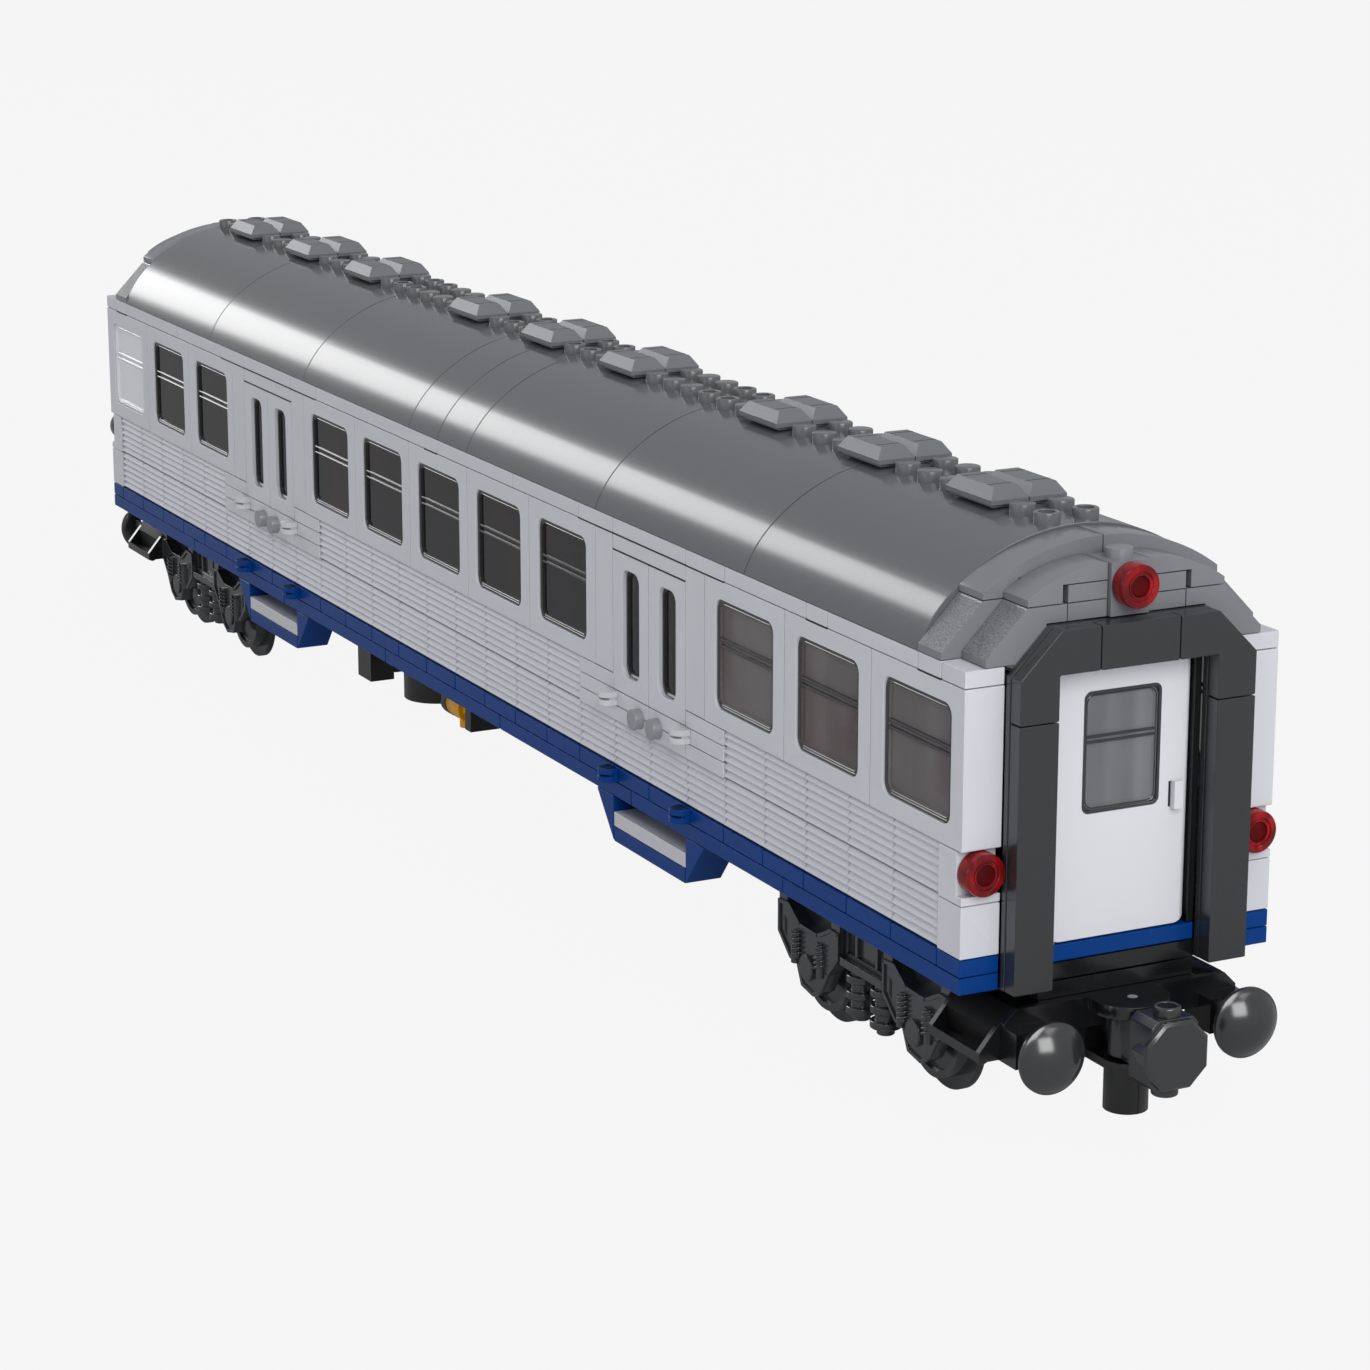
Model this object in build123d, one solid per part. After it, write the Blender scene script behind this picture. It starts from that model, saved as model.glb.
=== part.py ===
from build123d import *
import os
from math import asin, cos, sin, sqrt

# A brick-built toy railway carriage, eight studs wide and fifty-six studs long, on two bogies.
# Millimetres, +X along the carriage, +Z up. The origin is under the middle of the body, on the
# plane that the wheel flanges touch. Both sides are alike, and each end is the other one turned
# half round.

os.makedirs("parts", exist_ok=True)

# Brick system
STUD = 8.0              # pitch of the studs
PLATE = 3.2             # height of a plate
BRICK = 9.6             # height of a brick, three plates
SEAM = 0.2              # seam between neighbouring pieces
STUD_R = 2.4            # radius of a stud
STUD_H = 1.7            # height of a stud
OVERRUN = 1.0           # how far a cutting shape passes the surface that it cuts

# Bays of a side wall from the near end, and how many studs each kind is long
DOOR_GROUP = ["column", "door", "column"]
BAYS = 3 * ["window"] + DOOR_GROUP + 5 * ["window"] + DOOR_GROUP + 2 * ["window"] + ["frosted"]
BAY_STUDS = {"window": 4, "column": 1, "door": 4, "frosted": 4}
LENGTH_STUDS = sum(BAY_STUDS[bay] for bay in BAYS)

# Body
WIDTH_STUDS = 8         # body width, counted in studs
HALF_L = LENGTH_STUDS * STUD / 2
HALF_W = WIDTH_STUDS * STUD / 2
AXLE_DROP = 16.9        # axle below the underside of the body band
FLANGE_R = 11.4         # radius of the wheel flange that the carriage stands on
BAND_Z = AXLE_DROP + FLANGE_R

# Courses of the side wall and the roof, counted in plates above the band's underside
BAND_LOW, BAND_HIGH, RIB_LOW, RIB_HIGH, SILL, LINTEL, EAVES, WALL_TOP = 0, 1, 2, 5, 8, 16, 17, 18
LEAF_LOW, DOOR_TOP, SHOULDER, LAMP_TOP, CROWN = 7, 20, 21, 23, 24


def level(plates):
    """Height of a course, counted in plates above the band's underside."""
    return BAND_Z + plates * PLATE


def along(studs):
    """Place along the carriage, counted in studs from the near end towards the far end."""
    return HALF_L - studs * STUD


def bay_starts(kind):
    """Places of all bays of one kind, counted in studs from the near end."""
    counts = [BAY_STUDS[bay] for bay in BAYS]
    return [sum(counts[:n]) for n, bay in enumerate(BAYS) if bay == kind]


def steps(start, lengths):
    """First and last stud of each piece in a row of pieces laid end to end."""
    return [(start + sum(lengths[:n]), start + sum(lengths[:n + 1])) for n in range(len(lengths))]


def block(x0, x1, y0, y1, z0, z1, gap=SEAM):
    """A brick-like box between six planes, drawn in by half a seam on every face."""
    middle = Pos((x0 + x1) / 2, (y0 + y1) / 2, (z0 + z1) / 2)
    return middle * Box(abs(x1 - x0) - gap, abs(y1 - y0) - gap, abs(z1 - z0) - gap)


def box(x0, x1, y0, y1, z0, z1):
    """A box that fills the space between six planes."""
    return block(x0, x1, y0, y1, z0, z1, gap=0)


def mirrored(shapes):
    """The same pieces on the other side of the carriage."""
    return [mirror(shape, about=Plane.XZ) for shape in shapes]


def turned(shapes):
    """The same pieces at the other end of the carriage."""
    return [Rot(0, 0, 180) * shape for shape in shapes]


def both_sides(shapes):
    return shapes + mirrored(shapes)


def save(node, shapes):
    solids = [solid for shape in shapes for solid in shape.solids()]
    export_step(Compound(children=solids), f"parts/{node}.step")


ROUND_SIDES = 12        # faces round a repeated small round piece


def prism(x, y, z0, z1, radius):
    """A vertical round bar with flat faces, for the small pieces that repeat."""
    return Pos(x, y, z0) * extrude(RegularPolygon(radius, side_count=ROUND_SIDES), amount=z1 - z0)


def upright(x, y, z0, z1, radius):
    """A vertical round bar."""
    return Pos(x, y, (z0 + z1) / 2) * Cylinder(radius, z1 - z0)


def lengthwise(x0, x1, y, z, radius):
    """A round bar along the carriage."""
    return Pos((x0 + x1) / 2, y, z) * Rot(0, 90, 0) * Cylinder(radius, x1 - x0)


def crosswise(x, y0, y1, z, radius):
    """A round bar across the carriage."""
    return Pos(x, (y0 + y1) / 2, z) * Rot(90, 0, 0) * Cylinder(radius, y1 - y0)


def side_profile(points, y0, y1):
    """A flat outline in the side view, given as (x, z) points, as thick as from y0 to y1."""
    face = make_face(Polyline(*[(x, 0, z) for x, z in points], close=True))
    return Pos(0, y1, 0) * extrude(face, amount=y1 - y0, dir=(0, -1, 0))


def end_profile(points, x0, x1):
    """A flat outline in the end view, given as (y, z) points, as thick as from x0 to x1."""
    face = make_face(Polyline(*[(x0, y, z) for y, z in points], close=True))
    return extrude(face, amount=x1 - x0, dir=(1, 0, 0))


# Side walls, all given for the side y < 0; places in tables are counted in studs from the near end
WALL_OUT = -HALF_W
WALL_IN = WALL_OUT + STUD
LONG_PLATE_STUDS = 8    # long plates of the band and the floor
SHORT_PLATE_STUDS = 2   # plates of the band's upper course, ribbed bricks and door leaves
DOOR_ZONE_STUDS = 8     # smooth stretch of the upper ribbed course round a door


def runs(first, last, studs):
    """First and last stud of equal pieces laid from first to last; the last piece takes what is left."""
    return [(start, min(start + studs, last)) for start in range(first, last, studs)]


def band_side():
    """The two blue courses: long plates below, two-stud plates above, one-stud plates at the ends."""
    solids = []
    for start, end in runs(0, LENGTH_STUDS, LONG_PLATE_STUDS):
        solids.append(block(along(end), along(start), WALL_OUT, WALL_IN, level(BAND_LOW), level(BAND_HIGH)))
    last = LENGTH_STUDS - 1
    for start, end in [(0, 1)] + runs(1, last, SHORT_PLATE_STUDS) + [(last, LENGTH_STUDS)]:
        z0, z1 = level(BAND_HIGH), level(RIB_LOW)
        solids.append(block(along(end), along(start), WALL_OUT, WALL_IN, z0, z1))
    return solids


RIB_COUNT = 6           # ridges on one ribbed brick
RIB_DEPTH = 0.8         # depth of the grooves between the ridges
RIB_LAND_SHARE = 0.35   # flat part of one ridge, as a share of its pitch


def ribbed_brick(start, end, course):
    """A brick whose outer face is a stack of horizontal ridges, sharp at the grooves."""
    low, high = level(course) + SEAM / 2, level(course) + BRICK - SEAM / 2
    pitch = (high - low) / RIB_COUNT
    outer, inner = WALL_OUT + SEAM / 2, WALL_IN - SEAM / 2
    points = [(inner, low), (outer + RIB_DEPTH, low)]
    for ridge in range(RIB_COUNT):
        foot = low + ridge * pitch
        points.append((outer, foot + pitch * RIB_LAND_SHARE))
        points.append((outer + RIB_DEPTH, foot + pitch))
    points.append((inner, high))
    return end_profile(points, along(end) + SEAM / 2, along(start) - SEAM / 2)


def door_zone(start):
    """First and last stud of the smooth stretch round a door."""
    first = start + (BAY_STUDS["door"] - DOOR_ZONE_STUDS) // 2
    return first, first + DOOR_ZONE_STUDS


def in_door_zone(stud):
    return any(first <= stud < last for first, last in map(door_zone, bay_starts("door")))


def ribbed_side():
    """Both ribbed courses of one side, without the smooth stretches of the upper one."""
    solids = []
    for start, end in runs(1, LENGTH_STUDS - 1, SHORT_PLATE_STUDS):
        solids.append(ribbed_brick(start, end, RIB_LOW))
        if not in_door_zone(start):
            solids.append(ribbed_brick(start, end, RIB_HIGH))
    return solids


def smooth_plates_side():
    """Three smooth plate courses round each door; the uppermost leaves room for the door leaves."""
    solids = []
    for door in bay_starts("door"):
        first, last = door_zone(door)
        door_end = door + BAY_STUDS["door"]
        under = [(first, door), (door, door + SHORT_PLATE_STUDS), (door + SHORT_PLATE_STUDS, last)]
        beside = [(first, door), (door_end, last)]
        for course in range(RIB_HIGH, SILL):
            for start, end in under if course < LEAF_LOW else beside:
                z0, z1 = level(course), level(course + 1)
                solids.append(block(along(end), along(start), WALL_OUT, WALL_IN, z0, z1))
    return solids


WINDOW_W = 23.2         # window opening
WINDOW_H = 21.5
WINDOW_R = 2.3          # its corner radius
PANEL_T = 2.0           # thickness of a panel's outer face
PANEL_EDGE = 1.6        # thickness of the edges that stand inward from it


def window_hole(x, z, width, height, radius, y0, y1):
    """A rounded rectangle standing along the wall, cut through from y0 to y1."""
    hole = extrude(RectangleRounded(width, height, radius), amount=y1 - y0)
    return Pos(x, y1, z) * Rot(90, 0, 0) * hole


def window_panel(start, studs, hole_w, hole_h, hole_z, z0, z1):
    """A wall panel of one moulding: an outer face with its opening and edges as deep as the wall."""
    x0, x1 = along(start + studs), along(start)
    body = block(x0, x1, WALL_OUT, WALL_IN, z0, z1)
    edge = PANEL_EDGE + SEAM / 2
    hollow = box(x0 + edge, x1 - edge, WALL_OUT + PANEL_T, WALL_IN + OVERRUN, z0 + edge, z1 - edge)
    middle = (x0 + x1) / 2
    hole = window_hole(middle, hole_z, hole_w, hole_h, WINDOW_R, WALL_OUT - OVERRUN, WALL_OUT + STUD / 2)
    return body - hollow - hole


WINDOW_Z = (level(SILL) + level(EAVES)) / 2


def window_frames_side():
    """The window panels and the frosted one, all of one kind."""
    z0, z1, studs = level(SILL), level(EAVES), BAY_STUDS["window"]
    starts = bay_starts("window") + bay_starts("frosted")
    return [window_panel(start, studs, WINDOW_W, WINDOW_H, WINDOW_Z, z0, z1) for start in starts]


GLASS_GAP = 0.1         # play round a pane
GLASS_T = 1.2           # thickness of a pane
GLASS_SET = 0.5         # how far a pane's face lies behind the panel's face
GLASS_BAR_H = 1.1       # moulded cross bars on a pane
GLASS_BAR_T = 0.4
GLASS_BAR_PITCH = 1.9
GLASS_BAR_RISE_SHARE = 0.1      # the bars' height above the pane's middle, as a share of its height


PANE_CUT_SHARE = 0.7            # a pane's corner cut, as a share of its opening's corner radius


def pane_outline(width, height):
    """A rectangle with cut corners that fits in a rounded opening with a little play."""
    w, h, cut = width / 2 - GLASS_GAP, height / 2 - GLASS_GAP, WINDOW_R * PANE_CUT_SHARE
    half = [(w, h - cut), (w - cut, h), (cut - w, h), (-w, h - cut)]
    return make_face(Polyline(*half, *[(-a, -b) for a, b in half], close=True))


def pane(x, z, width, height, y_face):
    """A pane that fills an opening of a side wall."""
    return Pos(x, y_face + GLASS_T, z) * Rot(90, 0, 0) * extrude(pane_outline(width, height), amount=GLASS_T)


def window_pane(start):
    x = (along(start) + along(start + BAY_STUDS["window"])) / 2
    face = WALL_OUT + SEAM / 2 + GLASS_SET
    solid = pane(x, WINDOW_Z, WINDOW_W, WINDOW_H, face)
    half = WINDOW_W / 2 - GLASS_GAP - GLASS_BAR_T
    for side in (-1, 1):
        z = WINDOW_Z + WINDOW_H * GLASS_BAR_RISE_SHARE + side * GLASS_BAR_PITCH / 2
        z0, z1 = z - GLASS_BAR_H / 2, z + GLASS_BAR_H / 2
        solid += box(x - half, x + half, face - GLASS_BAR_T, face, z0, z1)
    return solid


def window_glass_side():
    return [window_pane(start) for start in bay_starts("window")]


def frosted_glass_side():
    return [window_pane(start) for start in bay_starts("frosted")]


LEAF_HOLE_W = 7.6       # slot window of a door leaf
LEAF_HOLE_H = 21.9
LEAF_HOLE_Z = 37.0      # middle of the slot above the band's underside
LEAF_GLASS_SET = 1.0


def leaf_starts():
    return [start + n * SHORT_PLATE_STUDS for start in bay_starts("door") for n in range(2)]


def door_leaves_side():
    z0, z1, hole_z = level(LEAF_LOW), level(LINTEL), BAND_Z + LEAF_HOLE_Z
    sizes = (SHORT_PLATE_STUDS, LEAF_HOLE_W, LEAF_HOLE_H, hole_z, z0, z1)
    return [window_panel(start, *sizes) for start in leaf_starts()]


def door_glass_side():
    solids = []
    for start in leaf_starts():
        x = (along(start) + along(start + SHORT_PLATE_STUDS)) / 2
        face = WALL_OUT + SEAM / 2 + LEAF_GLASS_SET
        solids.append(pane(x, BAND_Z + LEAF_HOLE_Z, LEAF_HOLE_W, LEAF_HOLE_H, face))
    return solids


def wall_columns_side():
    """Plain one-stud columns beside the doors and the lintels above the leaves."""
    solids = []
    for start in bay_starts("column"):
        end = start + BAY_STUDS["column"]
        solids.append(block(along(end), along(start), WALL_OUT, WALL_IN, level(SILL), level(EAVES)))
    for start in bay_starts("door"):
        end = start + BAY_STUDS["door"]
        solids.append(block(along(end), along(start), WALL_OUT, WALL_IN, level(LINTEL), level(EAVES)))
    return solids


LAMP_R = 3.9            # round lamp plates
LAMP_T = 3.2
LAMP_SET = 1.6          # depth of the recess that a side lamp sits in
LAMP_RISE = 5.6         # lamp centre above the underside of its brick
RECESS_RIM = 1.5        # lip below the recess


def corner_bricks_side(end_sign):
    """One-stud corner column under the window course: a plain brick and one recessed for its lamp."""
    x_face = end_sign * HALF_L
    x_back = x_face - end_sign * STUD
    plain = block(x_back, x_face, WALL_OUT, WALL_IN, level(RIB_LOW), level(RIB_HIGH))
    lamp_brick = block(x_back, x_face, WALL_OUT, WALL_IN, level(RIB_HIGH), level(SILL))
    z0, z1 = level(RIB_HIGH) + SEAM / 2 + RECESS_RIM, level(SILL) + OVERRUN
    x_floor = x_face - end_sign * (LAMP_SET + SEAM)
    y0, y1 = WALL_OUT - OVERRUN, WALL_IN + OVERRUN
    return [plain, lamp_brick - box(x_floor, x_face + end_sign * OVERRUN, y0, y1, z0, z1)]


# Top tiles of the wall: their lengths in studs from the near end
TILE_STUDS = [1, 1, 4, 1, 4, 2, 4, 2, 4, 5, 5, 4, 2, 4, 2, 4, 5, 1, 1]


def top_tiles_side():
    solids = []
    for start, end in steps(0, TILE_STUDS):
        solids.append(block(along(end), along(start), WALL_OUT, WALL_IN, level(EAVES), level(WALL_TOP)))
    return solids


# Clips and studs at the side doors
CLIP_W = 4.4            # along the wall
CLIP_OUT = 3.3          # out from the wall
CLIP_SLOT = 0.5         # slot between its two jaws
CLIP_SLOT_OUT_SHARE = 0.75
CLIP_COURSES = {"grey": LEAF_LOW - 1, "blue": BAND_HIGH}
KNOB_R = 2.1            # two short round studs between the clips
KNOB_OUT = 1.9
KNOB_STUDS = (1.5, 2.5)         # their places, counted in studs from the door's first stud
KNOB_RISE = 19.0                # their height above the band's underside


def clip(stud, course):
    """A plate-high clip with a rounded front and a level slot between its jaws."""
    x, z0, z1 = along(stud), level(course) + SEAM, level(course + 1) - SEAM
    front = WALL_OUT - CLIP_OUT + CLIP_W / 2
    base = WALL_OUT + SEAM / 2
    solid = box(x - CLIP_W / 2, x + CLIP_W / 2, front, base, z0, z1) + prism(x, front, z0, z1, CLIP_W / 2)
    middle = (z0 + z1) / 2
    depth = CLIP_OUT * CLIP_SLOT_OUT_SHARE
    y0, y1 = WALL_OUT - CLIP_OUT - OVERRUN, WALL_OUT - CLIP_OUT + depth
    slot = box(x - CLIP_W, x + CLIP_W, y0, y1, middle - CLIP_SLOT / 2, middle + CLIP_SLOT / 2)
    behind = box(x - CLIP_W, x + CLIP_W, base, WALL_IN, z0 - OVERRUN, z1 + OVERRUN)
    return solid - slot - behind


def clips_side(colour):
    course, studs = CLIP_COURSES[colour], BAY_STUDS["door"]
    return [clip(stud, course) for start in bay_starts("door") for stud in (start, start + studs)]


def knobs_side():
    solids = []
    base = WALL_OUT + SEAM / 2
    for start in bay_starts("door"):
        for place in KNOB_STUDS:
            knob = extrude(RegularPolygon(KNOB_R, side_count=ROUND_SIDES), amount=KNOB_OUT)
            solids.append(Pos(along(start + place), base, BAND_Z + KNOB_RISE) * Rot(90, 0, 0) * knob)
    return solids


# Steps below the side doors
STEP_DROP = 9.6         # underside of a step below the band
STEP_TREAD_T = 3.2


def step_side():
    """A step box: its bottom plate and a sloping cheek at each end."""
    solids = []
    z_low, z_top = BAND_Z - STEP_DROP, BAND_Z
    for start in bay_starts("door"):
        x1, x0 = along(start), along(start + BAY_STUDS["door"])
        solids.append(block(x0, x1, WALL_OUT, WALL_IN, z_low, z_low + PLATE))
        for x_in, sign in ((x1, 1), (x0, -1)):
            inner = x_in + sign * SEAM / 2
            outer = x_in + sign * (STUD - SEAM / 2)
            low, high = z_low + SEAM / 2, z_top - SEAM / 2
            points = [(inner, low), (outer, high), (inner, high)]
            solids.append(side_profile(points, WALL_OUT + SEAM / 2, WALL_IN - SEAM / 2))
    return solids


def step_treads_side():
    solids = []
    z0 = BAND_Z - STEP_DROP + PLATE
    for start in bay_starts("door"):
        x0, x1 = along(start + BAY_STUDS["door"]), along(start)
        solids.append(block(x0, x1, WALL_OUT, WALL_IN, z0, z0 + STEP_TREAD_T))
    return solids


# Floor
PIVOT_STUDS = 6                 # bogie pivot, counted in studs from the end
PIVOT_X = along(PIVOT_STUDS)
PIVOT_R = 2.4
PIN_PLAY = 0.05                 # radial play of a pin in its bore
BOGIE_GAP = 0.3                 # gap between body and bogie


def floor_plates():
    """Black base plates between the bands, with a bore for each bogie's pin."""
    solids = []
    for start, end in runs(0, LENGTH_STUDS, LONG_PLATE_STUDS):
        solids.append(block(along(end), along(start), WALL_IN, -WALL_IN, level(BAND_LOW), level(BAND_HIGH)))
    bore_top = level(BAND_HIGH) + OVERRUN
    for sign in (-1, 1):
        hole = upright(sign * PIVOT_X, 0, BAND_Z - OVERRUN, bore_top, PIVOT_R + PIN_PLAY)
        solids = [solid - hole for solid in solids]
    return solids


def floor_tiles():
    """Second course of the floor inside the bands."""
    solids = []
    for start, end in runs(0, LENGTH_STUDS, LONG_PLATE_STUDS):
        x0, x1 = along(min(end, LENGTH_STUDS - 1)), along(max(start, 1))
        solids.append(block(x0, x1, WALL_IN, -WALL_IN, level(BAND_HIGH), level(RIB_LOW)))
    return solids


# Ends: everything from here is given for the near end
# The gangway frame is built sideways: its sizes are whole studs
FRAME_OPEN_STUDS = 2            # half width of the opening
FRAME_HIGH_STUDS = 8            # height of the frame
FRAME_BACK_T = 1.6              # black back plate of the frame
FRAME_TILE_T = PLATE            # tiles on it
FRAME_IN = FRAME_OPEN_STUDS * STUD
FRAME_OUT = FRAME_IN + STUD     # half width outside
FRAME_TOP = FRAME_HIGH_STUDS * STUD     # top above the band's underside
FRAME_OPEN_TOP = FRAME_TOP - STUD       # top of the opening
FRAME_CORNER = STUD             # 45 degree corner cut
FRAME_CORNER_TILE = FRAME_OPEN_TOP - STUD       # underside of the corner tiles


def corner_tile_points(grow):
    """Outline of a corner tile for y > 0: an L with its outer corner cut at 45 degrees."""
    y_mid = FRAME_IN - STUD
    low, top = BAND_Z + FRAME_CORNER_TILE + grow, BAND_Z + FRAME_TOP - grow
    return [
        (y_mid + grow, BAND_Z + FRAME_OPEN_TOP + grow),
        (FRAME_IN + grow, BAND_Z + FRAME_OPEN_TOP + grow),
        (FRAME_IN + grow, low),
        (FRAME_OUT - grow, low),
        (FRAME_OUT - grow, top - FRAME_CORNER),
        (FRAME_OUT - FRAME_CORNER - grow, top),
        (y_mid + grow, top),
    ]


def gangway_tiles():
    """Five tiles that face the gangway frame: two posts, two cut corners and the middle one."""
    x0, x1 = HALF_L + FRAME_BACK_T, HALF_L + FRAME_BACK_T + FRAME_TILE_T
    z_low = BAND_Z
    post = block(x0, x1, FRAME_IN, FRAME_OUT, z_low, z_low + FRAME_CORNER_TILE)
    corner = end_profile(corner_tile_points(SEAM / 2), x0 + SEAM / 2, x1 - SEAM / 2)
    y_mid = FRAME_IN - STUD
    middle = block(x0, x1, -y_mid, y_mid, z_low + FRAME_OPEN_TOP, z_low + FRAME_TOP)
    return both_sides([post, corner]) + [middle]


def gangway_back():
    """One plate behind the tiles, open below like a gate."""
    top, inner_top = BAND_Z + FRAME_TOP - SEAM / 2, BAND_Z + FRAME_OPEN_TOP
    low = BAND_Z + SEAM / 2
    half = [
        (FRAME_IN, low), (FRAME_OUT, low), (FRAME_OUT, top - FRAME_CORNER), (FRAME_OUT - FRAME_CORNER, top),
    ]
    inner = (FRAME_IN, inner_top)
    points = half + [(-y, z) for y, z in reversed(half)] + [(-inner[0], inner[1]), inner]
    return [end_profile(points, HALF_L + SEAM / 2, HALF_L + FRAME_BACK_T - SEAM / 2)]


# End door and its frame
DOOR_FRAME_HALF = FRAME_IN      # half width of the door frame outside
DOOR_FRAME_RIM = 1.5    # sides and head of the frame
DOOR_LEAF_T = 2.8
DOOR_FACE_SET = 0.4     # leaf face behind the end's face
DOOR_GAP = 0.3          # gap round the leaf
DOOR_LEAF_HALF = DOOR_FRAME_HALF - DOOR_FRAME_RIM - DOOR_GAP
DOOR_PIN_R = 0.9
DOOR_PIN_L = 1.0
DOOR_WINDOW_W = 15.7
DOOR_WINDOW_H = 21.8
DOOR_WINDOW_Z = 40.1    # its middle above the band's underside
DOOR_EDGE_R = 1.2       # rounded upright edges of the leaf
DOOR_CORNER_R = 2.5     # rounded corners of its outline
HANDLE_W = 1.8
HANDLE_H = 5.0
HANDLE_OUT = 1.4
HANDLE_Y = 11.2
HANDLE_Z = 30.6

DOOR_Z0 = level(RIB_LOW)
DOOR_Z1 = level(DOOR_TOP)
LEAF_X1 = HALF_L - DOOR_FACE_SET
LEAF_X0 = LEAF_X1 - DOOR_LEAF_T
LEAF_Z0 = DOOR_Z0 + DOOR_GAP
LEAF_Z1 = DOOR_Z1 - DOOR_FRAME_RIM - DOOR_GAP
HINGE_X = (LEAF_X0 + LEAF_X1) / 2
HINGE_Y = -DOOR_LEAF_HALF + DOOR_LEAF_T / 2


def hinge_bore():
    return upright(HINGE_X, HINGE_Y, level(BAND_LOW), DOOR_Z1 + OVERRUN, DOOR_PIN_R + PIN_PLAY)


def end_sill():
    """Blue plate below the end door, with the bore for the leaf's lower pin."""
    half = DOOR_FRAME_HALF
    plate = block(HALF_L - STUD, HALF_L, -half, half, level(BAND_HIGH), level(RIB_LOW))
    return [plate - hinge_bore()]


def door_frame():
    """The black frame round the end door: two sides and a head with the upper hinge bore."""
    x0, x1 = HALF_L - STUD, HALF_L
    outer = block(x0, x1, -DOOR_FRAME_HALF, DOOR_FRAME_HALF, DOOR_Z0, DOOR_Z1)
    half = DOOR_FRAME_HALF - DOOR_FRAME_RIM
    opening = box(x0 - OVERRUN, x1 + OVERRUN, -half, half, DOOR_Z0 - OVERRUN, DOOR_Z1 - DOOR_FRAME_RIM)
    return [outer - opening - hinge_bore()]


def end_window(x0, x1):
    """The rounded window shape of the end door, from x0 to x1."""
    plane = Plane(origin=(x0, 0, BAND_Z + DOOR_WINDOW_Z), x_dir=(0, 1, 0), z_dir=(1, 0, 0))
    outline = RectangleRounded(DOOR_WINDOW_W, DOOR_WINDOW_H, WINDOW_R)
    return extrude(plane * outline, amount=x1 - x0)


def door_leaf():
    """The end door's leaf: rounded edges and corners, window opening, handle and hinge pins."""
    plan = RectangleRounded(DOOR_LEAF_T, 2 * DOOR_LEAF_HALF, DOOR_EDGE_R)
    leaf = Pos(HINGE_X, 0, LEAF_Z0) * extrude(plan, amount=LEAF_Z1 - LEAF_Z0)
    plane = Plane(origin=(LEAF_X0, 0, (LEAF_Z0 + LEAF_Z1) / 2), x_dir=(0, 1, 0), z_dir=(1, 0, 0))
    leaf &= extrude(
        plane * RectangleRounded(2 * DOOR_LEAF_HALF, LEAF_Z1 - LEAF_Z0, DOOR_CORNER_R), amount=DOOR_LEAF_T
    )
    leaf -= end_window(LEAF_X0 - OVERRUN, LEAF_X1 + OVERRUN)
    handle_y, handle_z = HANDLE_Y, BAND_Z + HANDLE_Z
    y0, y1 = handle_y - HANDLE_W / 2, handle_y + HANDLE_W / 2
    leaf += box(LEAF_X1, LEAF_X1 + HANDLE_OUT, y0, y1, handle_z - HANDLE_H / 2, handle_z + HANDLE_H / 2)
    inside = DOOR_CORNER_R
    leaf += upright(HINGE_X, HINGE_Y, LEAF_Z0 - DOOR_PIN_L, LEAF_Z0 + inside, DOOR_PIN_R)
    leaf += upright(HINGE_X, HINGE_Y, LEAF_Z1 - inside, LEAF_Z1 + DOOR_PIN_L, DOOR_PIN_R)
    return [leaf]


def door_pane():
    x0, z = HINGE_X - GLASS_T / 2, BAND_Z + DOOR_WINDOW_Z
    plane = Plane(origin=(x0, 0, z), x_dir=(0, 1, 0), z_dir=(1, 0, 0))
    return [extrude(plane * pane_outline(DOOR_WINDOW_W, DOOR_WINDOW_H), amount=GLASS_T)]


def lamp(x, y, z):
    """A round clear plate that faces the end."""
    return lengthwise(x - LAMP_T, x, y, z, LAMP_R)


TOP_LAMP_BLOCK_OUT = 0.8        # the lamp block in the roof end stands this far out


def end_lamps():
    side_y = WALL_IN - STUD / 2
    z = level(RIB_HIGH) + LAMP_RISE
    low = lamp(HALF_L - LAMP_SET + LAMP_T, side_y, z)
    top = lamp(HALF_L + TOP_LAMP_BLOCK_OUT + LAMP_T, 0, level(DOOR_TOP) + LAMP_RISE)
    return both_sides([low]) + [top]


# Roof ends: two layers, each one stud deep. Columns: outer foot y, distance of its face behind the end
SLOPE_RUN = STUD        # slopes, about 45 degrees
SLOPE_LIP = 1.3
ARCH_LIP = 1.2          # upright front of the curved pieces
ARCH_DROP = 0.4         # the rear layer's crown lies this much below the roof's
FRONT_SHIFT = STUD / 2  # the front layer lies this much further in


def slope_end(y_foot, x0, x1):
    """A sloping end brick for y > 0: lip, slope and a level top one stud wide, stepped over the frame."""
    z0, z1 = level(WALL_TOP) + SEAM / 2, level(SHOULDER) - SEAM / 2
    y1, y_in = y_foot - SEAM / 2, y_foot - SLOPE_RUN - STUD + SEAM / 2
    y_step, z_step = DOOR_FRAME_HALF + SEAM / 2, DOOR_Z1 + SEAM / 2
    points = [(y1, z0), (y1, z0 + SLOPE_LIP), (y_foot - SLOPE_RUN, z1), (y_in, z1)]
    points += [(y_in, z_step), (y_step, z_step), (y_step, z0)] if y_in < y_step else [(y_in, z0)]
    return end_profile(points, x0 + SEAM / 2, x1 - SEAM / 2)


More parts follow.
